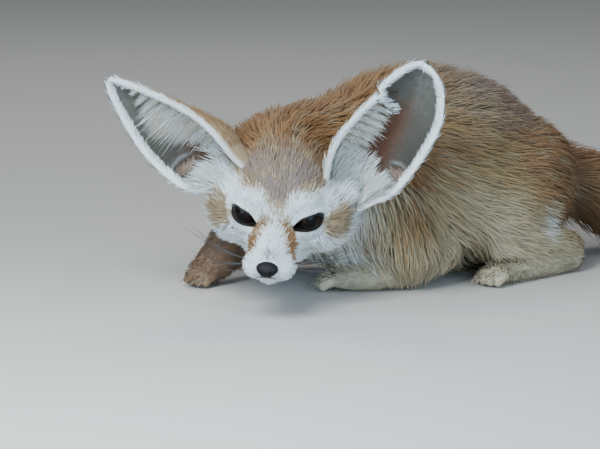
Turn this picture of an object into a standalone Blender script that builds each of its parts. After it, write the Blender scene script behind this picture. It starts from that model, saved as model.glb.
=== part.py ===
# Fennec fox, life size, lying with its head low and turned to its left.
# The trunk lies along X with the head towards -X, the fox's left side faces -Y and the floor is z = 0.
import math
import random

import bmesh
import bpy
import numpy as np
from mathutils import Euler, Matrix, Quaternion, Vector
from mathutils.bvhtree import BVHTree

CM = 0.01
GAP = 0.0003  # clearance between two pieces that touch
LOCK_ROOM = 0.00045  # clearance all round a lock
SHORTEST_EDGE = 0.00002  # a cut's shorter edges are closed up
TOUCH = 0.000001  # surfaces nearer than this touch

# The trunk's middle on the floor, set so that the whole fox is centred on the origin.
TRUNK_AT = Vector((0.0041, 0.0357, 0.0))
TRUNK_FRAME = Matrix.Translation(TRUNK_AT)

# The head's frame starts half way between the eyes: +X to the fox's left, -Y forward and +Z to the crown.
HEAD_AT = Vector((-0.151, -0.056, 0.061)) + TRUNK_AT
HEAD_TURN = (
    Matrix.Rotation(math.radians(-45), 4, "Z")
    @ Matrix.Rotation(math.radians(17), 4, "X")
    @ Matrix.Rotation(math.radians(5.4), 4, "Y")
)
HEAD_FRAME = Matrix.Translation(HEAD_AT) @ HEAD_TURN

# Colours, linear RGB.
SAND = (0.52, 0.33, 0.17)
CREAM = (0.72, 0.63, 0.48)
RUST = (0.42, 0.2, 0.09)
BLACK = (0.012, 0.01, 0.01)
# Each node's colour and roughness; the others are sand-coloured fur.
FINISHES = {
    "head": (CREAM, 0.9),
    "ear_left": (CREAM, 0.85),
    "ear_right": (CREAM, 0.85),
    "eye_left": (BLACK, 0.08),
    "eye_right": (BLACK, 0.08),
    "nose": (BLACK, 0.35),
    "tail_tip": (RUST, 0.9),
}

# Rows are (x, y, z, half width, half height), in centimetres from the trunk's middle, out to the coat's tips.
TORSO = [
    (-10.0, 0.3, 7.6, 4.2, 3.8),
    (-7.0, 0.2, 6.9, 5.6, 5.2),
    (-3.6, 0.1, 6.5, 6.3, 6.6),
    (0.5, 0.0, 6.7, 6.6, 7.0),
    (4.2, 0.1, 6.1, 6.3, 6.6),
    (7.3, 0.3, 4.9, 5.4, 5.4),
    (9.3, 0.5, 3.8, 3.9, 4.0),
]
NECK = [
    (-6.5, 0.6, 7.4, 5.2, 4.6),
    (-9.6, 0.1, 7.3, 5.1, 4.4),
    (-11.6, -1.5, 7.0, 4.6, 4.1),
    (-12.7, -3.0, 6.8, 4.0, 3.8),
]
TAIL = [
    (9.0, 0.8, 5.2, 1.7, 1.7),
    (12.4, 0.6, 5.4, 2.2, 2.3),
    (15.6, -1.2, 3.8, 2.7, 2.7),
    (17.2, -4.8, 2.8, 2.9, 2.9),
    (16.6, -8.8, 2.6, 2.8, 2.7),
    (14.0, -12.0, 2.1, 2.3, 2.25),
    (10.9, -13.6, 1.3, 1.4, 1.4),
    (9.3, -14.1, 0.9, 0.7, 0.7),
]
# The hind leg on the fox's left; the other side is mirrored.
THIGH = [(7.6, 2.9, 6.2, 3.3, 3.9), (5.4, 4.3, 5.0, 3.1, 3.7), (3.4, 5.3, 3.4, 2.1, 2.5)]
SHANK = [(3.4, 5.6, 2.8, 1.7, 1.7), (6.0, 5.9, 2.2, 1.5, 1.5), (8.6, 5.9, 1.5, 1.1, 1.3)]
HIND_FOOT = [(8.8, 5.9, 0.9, 1.0, 1.05), (5.0, 6.4, 0.8, 0.9, 0.95), (1.4, 6.7, 0.8, 1.15, 1.0)]
SHOULDER = [(-7.2, 3.6, 8.2, 2.3, 2.8), (-5.4, 4.5, 5.2, 2.4, 2.9), (-3.8, 5.0, 2.8, 1.8, 2.0)]
# The right foreleg reaches forward, the left one is tucked under the chest.
RIGHT_FOREARM = [(-4.0, 5.2, 2.4, 1.7, 1.8), (-7.8, 5.3, 2.2, 1.5, 1.7), (-11.0, 5.0, 2.3, 1.35, 1.6)]
RIGHT_PAW = [(-11.0, 5.0, 2.0, 1.3, 1.5), (-12.3, 4.8, 1.2, 1.35, 1.2), (-13.4, 4.6, 0.85, 1.15, 0.95)]
LEFT_FOREARM = [(-1.2, -4.2, 2.4, 1.7, 1.8), (-3.3, -3.9, 1.6, 1.5, 1.5), (-5.1, -3.3, 1.2, 1.25, 1.2)]
LEFT_PAW = [(-5.1, -3.3, 1.1, 1.2, 1.15), (-6.5, -2.5, 0.9, 1.15, 1.0), (-7.6, -1.6, 0.8, 1.05, 0.9)]

# Where the body is parted, in centimetres: the ball that a thigh fills, how much room the limbs take round
# their rows, and blocks that start at a plane across the paw, tail and neck and run on along a way.
THIGH_TERRITORY = ((4.8, 7.6, 5.0), (5.4, 4.4, 5.6))
LIMB_ROOM = 0.35
FOOT_ROOM = 0.45
PAW_ROOM = 0.5
PAW_CUT = ((-11.6, 4.9, 1.5), (-1, -0.1, -0.2), (5, 5, 5))
TAIL_CUTS = [
    ("tail_tip", (14.9, -11.0, 2), (-0.75, -0.66, 0)),
    ("tail_middle", (17.0, -4.4, 2), (-0.1, -1.0, 0)),
    ("tail_root", (12.9, 0.6, 5), (1.0, -0.1, 0)),
]
TAIL_BLOCK = (12, 12, 14)
NECK_CUT = ((-8.8, 0.3, 7.0), (-1.0, -0.25, 0.1), (16, 16, 8))
HEAD_ROOM = 0.001  # how far the neck stays clear of the head's coat, whose core has other triangles, metres

# Between the toes: where a paw ends, the way it points, and how far apart the three clefts lie.
PAWS = {
    "forepaw_right": ((-13.9, 4.55, 1.0), (-1, -0.15, 0), 0.5),
    "forepaw_left": ((-8.4, -1.0, 0.85), (-0.8, 0.6, 0), 0.45),
    "hind_foot_left": ((0.75, -6.75, 1.0), (-1, -0.1, 0), 0.5),
    "hind_foot_right": ((0.75, 6.75, 1.0), (-1, 0.1, 0), 0.5),
}
CLEFT = (0.75, 0.06, 0.5)
CLEFT_BACK = 0.12  # how far back the outer clefts lie

# How far inside the coat's tips the core of each form lies, in centimetres. The locks stand between the two.
CORE_INSETS = {"torso": 1.1, "neck": 0.9, "tail": 1.1, "thigh": 0.6, "shoulder": 1.1, "cheek": 0.45}
# Locks in centimetres: how far apart they root, and their length, width and thickness.
LOCKS = {
    "head": (1.2, 2.2, 1.2, 0.35),
    "neck": (1.6, 4.0, 1.8, 0.6),
    "torso": (2.05, 5.2, 2.1, 0.7),
    "thigh_left": (1.7, 3.4, 1.8, 0.5),
    "thigh_right": (1.7, 3.4, 1.8, 0.5),
    "tail_root": (1.8, 4.4, 1.9, 0.65),
    "tail_middle": (1.8, 4.4, 1.9, 0.65),
    "tail_tip": (1.6, 3.8, 1.6, 0.55),
}
LEAST_CORE = 0.45  # the smallest share of a form that its core is
FLAT_ANGLE = 3  # a core's faces this near to one plane become one, degrees
UNDER_LOCKS = 0.7  # the share of a core's triangles that is kept
DROOP = (0.35, 0.08)  # how much the lie falls everywhere, and more for each centimetre down the flanks
CHEEK_LIE = (0.35, 1.0, -0.55)  # out, back and down, in the head's frame
LOCK_SEED = 4
ON_SKIN = 0.0002  # a face nearer to the core's skin than this is part of it
OFF_SKIN = 0.0025  # a place further off the skin than this is on a face that meets a neighbour
LOWEST_ROOT = 0.006  # no lock grows nearer the floor
THIN_COAT = 0.003  # nor where the core lies this near to the tips
UPRIGHT = 0.7  # nor where a face turns further than this cosine from the core's skin
LOCK_SINK = 0.0035  # how deep the root goes into the core
LOCK_BACK = 0.002  # and how far back under the lock
LOCK_RIDGE = 0.6  # the share of its thickness above its middle
LOCK_UNDER = 0.3  # the share of its thickness that it lies below the tips' surface
# Along a lock: the share of its length, how far out of the coat it stands, and its share of the full width.
LOCK_SHAPE = ((0.0, 0.0, 0.7), (0.38, 0.7, 1.0), (0.74, 0.97, 0.7), (1.0, 0.94, 0.0))
LOCK_VARIES = (0.85, 1.1)  # the range of a lock's length, as a share
LOCK_SHORTER = (0.75, 0.55, 0.4)  # tried in turn where it doesn't fit
LOCK_TRIES = 5  # unions at most, each without the locks that touched another
LOCK_SWAY = 14  # the most that a lock turns off the lie, degrees

# The head's forms, in centimetres in its own frame: middle, half sizes.
CRANIUM = ((0, 2.9, 0.5), (3.3, 3.5, 2.6))
FACE = ((0, 1.5, -0.3), (3.5, 2.8, 2.3))
BROW = ((1.2, 0.8, 0.8), (1.6, 1.6, 1.1))
CHEEK = ((2.3, 2.1, -0.8), (2.4, 2.5, 2.2))
CHEEK_RUFF = ((2.5, 3.3, -1.3), (2.3, 2.2, 2.0))
EAR_MOUND = (-0.5, 1.45)  # how far it lies up each ear from the root, and its half size
WHISKER_PAD = ((0.72, -2.5, -1.95), (1.0, 1.35, 0.85))
MUZZLE = [
    (0, 0.9, -0.9, 2.4, 1.7),
    (0, -0.9, -1.25, 1.75, 1.35),
    (0, -2.2, -1.55, 1.25, 1.0),
    (0, -3.3, -1.75, 0.9, 0.75),
]
JAW = [(0, 2.4, -2.7, 2.4, 1.2), (0, -0.4, -2.75, 1.5, 0.9), (0, -2.6, -2.75, 0.75, 0.55)]

EYE_AT = (1.84, 0.3, 0.0)
EYE_RADIUS = 0.86
LID_RADIUS = 1.0
EYE_OPENING = (0.84, 0.56)  # half length and half height of the slit between the lids
EYE_SLANT = 22  # the inner corner lies lower, degrees
EYE_OUTWARD = 22  # the way an eye looks, degrees to its side
NOSE_AT = (0, -3.85, -1.62)
NOSE_SIZE = (0.64, 0.5, 0.5)
NOSTRIL = ((0.27, -4.3, -1.68), (0.13, 0.2, 0.1))
MOUTH = [(0.0, -4.2, -2.3), (0.5, -3.9, -2.6), (1.1, -2.9, -2.75), (1.7, -1.7, -2.6), (2.3, -0.4, -2.3)]
MOUTH_GROOVE = 0.08

# An ear is a cup: its root, tip and the way its mouth faces, in the head's frame. Rows are the share of its
# length, the half widths towards the crown and outwards, and how far it wraps, degrees.
EARS = {
    "left": dict(
        root=(4.3, 3.4, 0.9),
        tip=(8.1, 5.2, 8.7),
        facing=(0.1, -1.0, 0.2),
        side=1,
        rows=[
            (-0.12, 1.6, 0.9, 118),
            (0.0, 2.0, 1.5, 116),
            (0.12, 2.4, 2.1, 108),
            (0.3, 2.55, 2.4, 92),
            (0.5, 2.25, 2.6, 78),
            (0.62, 1.85, 2.6, 72),
            (0.67, 1.68, 2.55, 70),
            (0.72, 1.85, 2.5, 66),
            (0.86, 1.45, 1.95, 56),
            (0.95, 0.95, 1.25, 50),
            (1.0, 0.3, 0.35, 45),
        ],
    ),
    "right": dict(
        root=(-3.7, 3.4, 1.2),
        tip=(-11.4, 5.0, 5.6),
        facing=(-0.2, -0.9, -0.1),
        side=-1,
        rows=[
            (-0.12, 1.6, 0.9, 118),
            (0.0, 2.0, 1.5, 116),
            (0.12, 2.5, 2.1, 108),
            (0.3, 2.6, 2.3, 92),
            (0.5, 2.25, 2.25, 78),
            (0.7, 1.7, 1.7, 66),
            (0.86, 1.05, 1.1, 56),
            (0.95, 0.65, 0.65, 50),
            (1.0, 0.25, 0.25, 45),
        ],
    ),
}
EAR_THICKNESS = 0.26


def material(name, colour, roughness):
    """A plain finish of one colour."""
    made = bpy.data.materials.new(name)
    made.use_nodes = True
    shader = made.node_tree.nodes["Principled BSDF"]
    shader.inputs["Base Color"].default_value = (*colour, 1)
    shader.inputs["Roughness"].default_value = roughness
    return made


def clear_scene():
    for old in list(bpy.data.objects):
        bpy.data.objects.remove(old)


def linked(name, bm):
    """An object holding what was modelled in bm, its faces pointing out."""
    bmesh.ops.recalc_face_normals(bm, faces=bm.faces)
    mesh = bpy.data.meshes.new(name)
    bm.to_mesh(mesh)
    bm.free()
    made = bpy.data.objects.new(name, mesh)
    bpy.context.scene.collection.objects.link(made)
    return made


def mirrored(rows):
    """The same form on the other side of the trunk's middle plane."""
    return [(row[0], -row[1], *row[2:]) for row in rows]


def ball(at, size, frame=TRUNK_FRAME, turn=(0, 0, 0), sides=24):
    """An ellipsoid: its middle and half sizes in centimetres, and its turn in degrees."""
    bm = bmesh.new()
    bmesh.ops.create_uvsphere(bm, u_segments=sides, v_segments=sides // 2 + 2, radius=1)
    turned = Euler([math.radians(angle) for angle in turn]).to_matrix().to_4x4()
    scaled = Matrix.Diagonal((*(Vector(size) * CM), 1))
    shape = frame @ Matrix.Translation(Vector(at) * CM) @ turned @ scaled
    bmesh.ops.transform(bm, matrix=shape, verts=bm.verts)
    return linked("ball", bm)


def pair(form, sides=24):
    """A ball on each side of the head."""
    (x, y, z), size = form
    return [ball((side * x, y, z), size, HEAD_FRAME, sides=sides) for side in (1, -1)]


def curve_through(rows, steps):
    """A Catmull-Rom curve through rows of numbers, with that many steps from one row to the next."""
    rows = np.array(rows, float)
    ends = np.vstack([2 * rows[0] - rows[1], rows, 2 * rows[-1] - rows[-2]])
    found = []
    for a, b, c, d in zip(ends, ends[1:], ends[2:], ends[3:]):
        for t in np.arange(steps) / steps:
            square = (2 * a - 5 * b + 4 * c - d) * t**2
            cube = (3 * b - a - 3 * c + d) * t**3
            found.append(0.5 * (2 * b + (c - a) * t + square + cube))
    return np.array([*found, rows[-1]])


def tube(stations, frame=TRUNK_FRAME, sides=20, steps=4):
    """A limb lofted through stations, with round ends."""
    rows = curve_through(stations, steps)
    along = np.gradient(rows[:, :3], axis=0)
    along /= np.linalg.norm(along, axis=1)[:, None]
    rings = [(centre, way, size) for centre, way, size in zip(rows[:, :3], along, rows[:, 3:])]
    for end, sign in ((0, -1), (-1, 1)):
        centre, way, size = rings[end]
        caps = [
            (centre + sign * way * size.mean() * share, way, size * math.sqrt(1 - share**2))
            for share in (0.45, 0.8, 0.97)
        ]
        rings = caps[::-1] + rings if end == 0 else rings + caps
    bm = bmesh.new()
    loops = []
    for centre, way, (wide, high) in rings:
        way = Vector(way)
        across = way.cross(Vector((0, 0, 1))).normalized()
        up = across.cross(way)
        angles = np.arange(sides) * 2 * math.pi / sides
        points = [Vector(centre) + across * wide * math.cos(a) + up * high * math.sin(a) for a in angles]
        loops.append([bm.verts.new(point * CM) for point in points])
    for low, high in zip(loops, loops[1:]):
        for i in range(sides):
            bm.faces.new((low[i], low[(i + 1) % sides], high[(i + 1) % sides], high[i]))
    bm.faces.new(loops[0][::-1])
    bm.faces.new(loops[-1])
    bmesh.ops.transform(bm, matrix=frame, verts=bm.verts)
    return linked("tube", bm)


def applied(obj):
    """The object with its modifiers made part of its mesh."""
    graph = bpy.context.evaluated_depsgraph_get()
    mesh = bpy.data.meshes.new_from_object(obj.evaluated_get(graph))
    obj.modifiers.clear()
    obj.data = mesh
    return obj


def fused(name, forms, voxel, smoothing, faces):
    """Forms grown together into one smooth body with about that many triangles."""
    bm = bmesh.new()
    for form in forms:
        bm.from_mesh(form.data)
        bpy.data.objects.remove(form)
    body = linked(name, bm)
    remesh = body.modifiers.new("grown", "REMESH")
    remesh.mode = "VOXEL"
    remesh.voxel_size = voxel
    smooth = body.modifiers.new("smooth", "SMOOTH")
    smooth.factor = 0.5
    smooth.iterations = smoothing
    applied(body)
    body.modifiers.new("triangles", "TRIANGULATE")
    applied(body)
    fewer = body.modifiers.new("fewer", "DECIMATE")
    fewer.ratio = min(1.0, faces / len(body.data.polygons))
    return applied(body)


def copied(obj):
    made = bpy.data.objects.new(obj.name + "_copy", obj.data.copy())
    bpy.context.scene.collection.objects.link(made)
    return made


def inflated(obj, by=GAP):
    """A copy whose surface stands out by that distance."""
    made = copied(obj)
    for vertex, normal in zip(made.data.vertices, [v.normal.copy() for v in obj.data.vertices]):
        vertex.co += normal * by
    return made


def ordered(obj):
    """Closes up short edges and sorts the mesh by place: the solver's own order differs from run to run."""
    bm = bmesh.new()
    bm.from_mesh(obj.data)
    bmesh.ops.dissolve_degenerate(bm, dist=SHORTEST_EDGE, edges=bm.edges)
    bmesh.ops.triangulate(bm, faces=bm.faces)
    corners = {}
    for face in bm.faces:
        corners.setdefault(frozenset(face.verts), []).append(face)
    flattened = [face for twins in corners.values() if len(twins) == 2 for face in twins]
    bmesh.ops.delete(bm, geom=flattened, context="FACES")
    bm.verts.index_update()
    points = sorted((tuple(round(value, 7) for value in vertex.co), vertex.index) for vertex in bm.verts)
    place = {index: k for k, (_, index) in enumerate(points)}
    faces = []
    for face in bm.faces:
        loop = [place[vertex.index] for vertex in face.verts]
        start = loop.index(min(loop))
        faces.append((*loop[start:], *loop[:start]))
    bm.free()
    mesh = bpy.data.meshes.new(obj.name)
    mesh.from_pydata([point for point, _ in points], [], sorted(faces))
    obj.data = mesh
    return obj


def combined(obj, other, operation, keep_other=False):
    """Blender's Boolean of two closed meshes, applied. The second is removed unless it is kept."""
    step = obj.modifiers.new("combined", "BOOLEAN")
    step.operation = operation
    # The exact solver leaves open edges round the mouth, and nothing where a bent tube crosses itself.
    step.solver = "MANIFOLD"
    step.object = other
    applied(obj)
    if not keep_other:
        bpy.data.objects.remove(other)
    return ordered(obj)


def largest_part(obj):
    """Keeps the largest closed surface of the mesh."""
    bm = bmesh.new()
    bm.from_mesh(obj.data)
    bmesh.ops.triangulate(bm, faces=bm.faces)
    seen = set()
    parts = []
    for start in bm.faces:
        if start in seen:
            continue
        seen.add(start)
        part = [start]
        for face in part:
            for edge in face.edges:
                for near in edge.link_faces:
                    if near not in seen:
                        seen.add(near)
                        part.append(near)
        parts.append(part)
    parts.sort(key=lambda part: sum(face.calc_area() for face in part))
    for part in parts[:-1]:
        bmesh.ops.delete(bm, geom=part, context="FACES")
    bmesh.ops.delete(bm, geom=[v for v in bm.verts if not v.link_faces], context="VERTS")
    for face in bm.faces:
        face.material_index = 0
    bm.to_mesh(obj.data)
    bm.free()
    obj.data.shade_smooth()
    obj.data.set_sharp_from_angle(angle=math.radians(50))


def grown(rows, by):
    """The same limb, thicker all round by that much."""
    return [(*row[:3], row[3] + by, row[4] + by) for row in rows]


def cored(form, rows, core):
    """A form's rows at the tips of its coat, or at its core."""
    if not core:
        return rows
    inset = CORE_INSETS[form]
    return [(*row[:3], *(max(size - inset, LEAST_CORE * size) for size in row[3:])) for row in rows]


def make_body(core):
    """Trunk, neck, legs and tail as one smooth body, out to the coat's tips or only its core."""
    trunk = {"torso": TORSO, "neck": NECK, "tail": TAIL}
    forms = [tube(cored(name, rows, core)) for name, rows in trunk.items()]
    for leg in (cored("thigh", THIGH, core), SHANK, HIND_FOOT, cored("shoulder", SHOULDER, core)):
        forms += [tube(mirrored(leg)), tube(leg)]
    forms += [tube(rows) for rows in (RIGHT_FOREARM, RIGHT_PAW, LEFT_FOREARM, LEFT_PAW)]
    body = fused("body", forms, voxel=0.003, smoothing=8, faces=2200 if core else 4000)
    return combined(body, floor_block(), "DIFFERENCE")


def make_head(core):
    """Skull, muzzle, cheeks and jaw as one smooth head, out to the coat's tips or only its core."""
    inset = CORE_INSETS["cheek"] if core else 0
    forms = [ball(*form, HEAD_FRAME) for form in (CRANIUM, FACE)]
    for at, size in (BROW, CHEEK, CHEEK_RUFF, WHISKER_PAD):
        forms += pair((at, [half - (inset if at in (CHEEK[0], CHEEK_RUFF[0]) else 0) for half in size]))
    forms += [tube(rows, HEAD_FRAME) for rows in (MUZZLE, JAW)]
    up, size = EAR_MOUND
    for ear in EARS.values():
        root, tip = Vector(ear["root"]), Vector(ear["tip"])
        forms.append(ball(root + (tip - root).normalized() * up, (size,) * 3, HEAD_FRAME))
    return fused("head", forms, voxel=0.0015, smoothing=16, faces=1500)


def eye_frame(side):
    """An eye's own frame: it looks along -Y, with the slit's outer corner towards +X on the fox's left."""
    at = Matrix.Translation(Vector((side * EYE_AT[0], *EYE_AT[1:])) * CM)
    outward = Matrix.Rotation(math.radians(side * EYE_OUTWARD), 4, "Z")
    slant = Matrix.Rotation(math.radians(-side * EYE_SLANT), 4, "Y")
    return HEAD_FRAME @ at @ outward @ slant


def slit(frame):
    """The almond between the lids, as a cutter that runs forward from the eye's middle."""
    bm = bmesh.new()
    half, high = EYE_OPENING
    across = np.linspace(-1, 1, 9)
    outline = [(half * x, high * (1 - x * x)) for x in across]
    outline += [(half * x, -high * 0.85 * (1 - x * x)) for x in across[-2:0:-1]]
    back = [bm.verts.new(Vector((x, -0.2, z)) * CM) for x, z in outline]
    front = [bm.verts.new(Vector((x, -1.6, z)) * CM) for x, z in outline]
    bm.faces.new(back)
    bm.faces.new(front[::-1])
    for i in range(len(outline)):
        j = (i + 1) % len(outline)
        bm.faces.new((back[i], front[i], front[j], back[j]))
    bmesh.ops.transform(bm, matrix=frame, verts=bm.verts)
    return linked("slit", bm)


def make_eyes(head):
    """Eyeballs in the head, under lids that leave an almond open."""
    for side, word in ((1, "left"), (-1, "right")):
        frame = eye_frame(side)
        combined(head, ball((0, 0, 0), (LID_RADIUS,) * 3, frame, sides=16), "UNION")
        eye = ball((0, 0, 0), (EYE_RADIUS,) * 3, frame, sides=14)
        eye.name = "eye_" + word
        combined(head, inflated(eye), "DIFFERENCE")
        combined(head, slit(frame), "DIFFERENCE")


def make_nose(head):
    """The bare nose pad with its two nostrils, let into the muzzle's end."""
    nose = ball(NOSE_AT, NOSE_SIZE, HEAD_FRAME, sides=12)
    nose.name = "nose"
    combined(head, inflated(nose), "DIFFERENCE")
    for pit in pair(NOSTRIL, 8):
        combined(nose, pit, "DIFFERENCE")


def settled(obj, points, frame):
    """Points in centimetres in a frame, moved to the nearest place on the object."""
    back = frame.inverted()
    found = [obj.closest_point_on_mesh(frame @ (Vector(point) * CM))[1] for point in points]
    return [(back @ point) / CM for point in found]


def groove_mouth(head):
    """The line of the closed mouth, from under the nose to each corner."""
    for side in (1, -1):
        path = curve_through([(side * x, y, z) for x, y, z in MOUTH], 3)
        rows = [(*point, MOUTH_GROOVE, MOUTH_GROOVE) for point in settled(head, path, HEAD_FRAME)]
        combined(head, tube(rows, HEAD_FRAME, sides=5, steps=1), "DIFFERENCE")


def ear_sheet(ear, across=10, along=13):
    """Rows of points on the middle of the ear's wall, from root to tip, and the way out of the cup's back."""
    root, tip = Vector(ear["root"]), Vector(ear["tip"])
    length = (tip - root).length
    up = (tip - root) / length
    facing = Vector(ear["facing"])
    facing = (facing - up * facing.dot(up)).normalized()
    lateral = up.cross(facing) * ear["side"]
    lateral = lateral if lateral.x * ear["side"] > 0 else -lateral
    rows = []
    profile = curve_through(ear["rows"], 6)
    start = profile[0, 0]
    for v in start + (1 - start) * np.sin(np.linspace(0, math.pi / 2, along)):
        medial, outer, wrap = (np.interp(v, profile[:, 0], profile[:, k]) for k in (1, 2, 3))
        wrap = math.radians(wrap)
        deep = (medial + outer) / 2 / math.sin(min(wrap, math.pi / 2))
        row = []
        for u in np.linspace(-1, 1, across):
            angle = u * wrap
            wide = (outer if u > 0 else medial) / math.sin(min(wrap, math.pi / 2))
            side = lateral * wide * math.sin(angle)
            hollow = facing * deep * (0.5 - math.cos(angle) + 0.5 * math.cos(wrap))
            row.append(root + up * length * v + side + hollow)
        rows.append(row)
    return np.array(rows)


def make_ear(word, head, body):
    """A thin cup with a round rim, carved to sit on the head and clear of the neck."""
    middle = ear_sheet(EARS[word])
    run = np.gradient(middle, axis=0)
    turn = np.gradient(middle, axis=1)
    out = np.cross(run, turn)
    out /= np.linalg.norm(out, axis=2)[:, :, None]
    half = EAR_THICKNESS / 2
    bm = bmesh.new()
    faces = []
    for offset in (half, -half):
        faces.append([[bm.verts.new(Vector(p) * CM) for p in row] for row in middle + out * offset])
    rows, columns = middle.shape[:2]
    for sheet in faces:
        for i in range(rows - 1):
            for j in range(columns - 1):
                bm.faces.new((sheet[i][j], sheet[i][j + 1], sheet[i + 1][j + 1], sheet[i + 1][j]))
    border = [(0, j) for j in range(columns)] + [(i, columns - 1) for i in range(1, rows)]
    border += [(rows - 1, j) for j in range(columns - 2, -1, -1)] + [(i, 0) for i in range(rows - 2, 0, -1)]
    centre = middle.mean(axis=(0, 1))
    rim = []
    for i, j in border:
        inner = middle[min(max(i, 1), rows - 2), min(max(j, 1), columns - 2)]
        outward = middle[i, j] - inner
        outward = outward / max(np.linalg.norm(outward), 1e-6)
        rim.append(bm.verts.new(Vector(middle[i, j] + outward * half) * CM))
    for k in range(len(border)):
        (a, b), (c, d) = border[k], border[(k + 1) % len(border)]
        here, there = rim[k], rim[(k + 1) % len(border)]
        for sheet in faces:
            bm.faces.new((sheet[a][b], sheet[c][d], there, here))
    bmesh.ops.transform(bm, matrix=HEAD_FRAME, verts=bm.verts)
    ear = linked("ear_" + word, bm)
    combined(ear, inflated(head), "DIFFERENCE")
    combined(ear, inflated(body), "DIFFERENCE")


def around(rows, by):
    """The room that a limb takes: its tube, thicker all round by that much."""
    return tube(grown(rows, by), sides=10, steps=2)


def slab(at, way, size):
    """A block that starts at a plane through a point and runs on along a way, in centimetres."""
    bm = bmesh.new()
    bmesh.ops.create_cube(bm, size=1)
    turn = Vector(way).to_track_quat("Z", "Y").to_matrix().to_4x4()
    shape = turn @ Matrix.Diagonal((*(Vector(size) * CM), 1)) @ Matrix.Translation((0, 0, 0.5))
    bmesh.ops.transform(bm, matrix=TRUNK_FRAME @ Matrix.Translation(Vector(at) * CM) @ shape, verts=bm.verts)
    return linked("slab", bm)


def parted(body, name, territory):
    """Takes from the body what lies in a territory, with the gap between them, as a node of its own."""
    node = combined(copied(body), territory, "INTERSECT", keep_other=True)
    combined(body, inflated(territory), "DIFFERENCE")
    bpy.data.objects.remove(territory)
    node.name = name


def cleave_toes(name):
    """Three shallow clefts that make four toes at a paw's end."""
    at, way, apart = PAWS[name]
    turn = math.degrees(math.atan2(way[1], way[0]))
    across = Vector((-way[1], way[0], 0)).normalized()
    for k in (-1, 0, 1):
        middle = Vector(at) + across * apart * k - Vector(way) * CLEFT_BACK * abs(k)
        combined(bpy.data.objects[name], ball(middle, CLEFT, turn=(0, 0, turn), sides=6), "DIFFERENCE")


def part_body(body):
    """The body cut into the parts that a person would name; what is left is the torso."""
    parted(body, "forepaw_right", slab(*PAW_CUT))
    parted(body, "foreleg_right", around(RIGHT_FOREARM, PAW_ROOM))
    parted(body, "foreleg_left", around(LEFT_FOREARM[:2], LIMB_ROOM))
    parted(body, "forepaw_left", around(LEFT_PAW, PAW_ROOM))
    for word, side in (("left", mirrored), ("right", list)):
        parted(body, "hind_foot_" + word, around(side(HIND_FOOT), FOOT_ROOM))
        parted(body, "shank_" + word, around(side(SHANK), LIMB_ROOM))
        parted(body, "thigh_" + word, ball(*side([THIGH_TERRITORY[0]]), THIGH_TERRITORY[1], sides=16))
    for name, at, way in TAIL_CUTS:
        parted(body, name, slab(at, way, TAIL_BLOCK))
    parted(body, "neck", slab(*NECK_CUT))
    for name in PAWS:
        cleave_toes(name)
    body.name = "torso"


def coarser(node, skin):
    """Fewer triangles under the locks; the faces that meet the neighbours keep their shape."""
    faces = node.data.polygons
    meeting = [face for face in faces if skin.find_nearest(face.center)[3] > ON_SKIN]
    free = set(range(len(node.data.vertices))) - {v for face in meeting for v in face.vertices}
    under = node.vertex_groups.new(name="under_locks")
    under.add(list(free), 1.0, "REPLACE")
    fewer = node.modifiers.new("coarser", "DECIMATE")
    fewer.ratio = (len(meeting) + UNDER_LOCKS * (len(faces) - len(meeting))) / len(faces)
    fewer.vertex_group = under.name
    fewer.vertex_group_factor = 1000
    applied(node)
    node.vertex_groups.clear()
    bm = bmesh.new()
    bm.from_mesh(node.data)
    kept = {face for face in bm.faces if skin.find_nearest(face.calc_center_median())[3] > ON_SKIN}
    edges = [edge for edge in bm.edges if kept.isdisjoint(edge.link_faces)]
    corners = [corner for corner in bm.verts if kept.isdisjoint(corner.link_faces)]
    bmesh.ops.dissolve_limit(bm, angle_limit=math.radians(FLAT_ANGLE), verts=corners, edges=edges)
    bmesh.ops.triangulate(bm, faces=bm.faces)
    bm.to_mesh(node.data)
    bm.free()


def tree_of(obj):
    return BVHTree.FromPolygons([v.co for v in obj.data.vertices], [p.vertices for p in obj.data.polygons])


def lie_at(point):
    """The way the coat lies there: back along the neck, trunk or tail, and down the flanks."""
    here = (point - TRUNK_AT) / CM
    best = None
    for name, rows in (("neck", NECK[::-1]), ("torso", TORSO), ("tail", TAIL)):
        line = curve_through(rows, 3)
        middles, sizes = line[:, :3], line[:, 3]
        away = np.linalg.norm(middles - np.array(here), axis=1) / sizes
        k = min(int(away.argmin()), len(line) - 2)
        if best is None or away.min() < best[0]:
            best = (away.min(), name, Vector(middles[k + 1] - middles[k]).normalized(), Vector(middles[k]))
    away, name, way, middle = best
    if name == "tail":
        return way
    fall, more = DROOP
    return (way - Vector((0, 0, fall + more * max(middle.z - here.z, 0)))).normalized()


def cheek_lie(point):
    """On the head the ruff lies back, out and down."""
    out, back, up = CHEEK_LIE
    x = (HEAD_FRAME.inverted() @ point).x
    return (HEAD_TURN @ Vector((math.copysign(out, x), back, up))).normalized()


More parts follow.
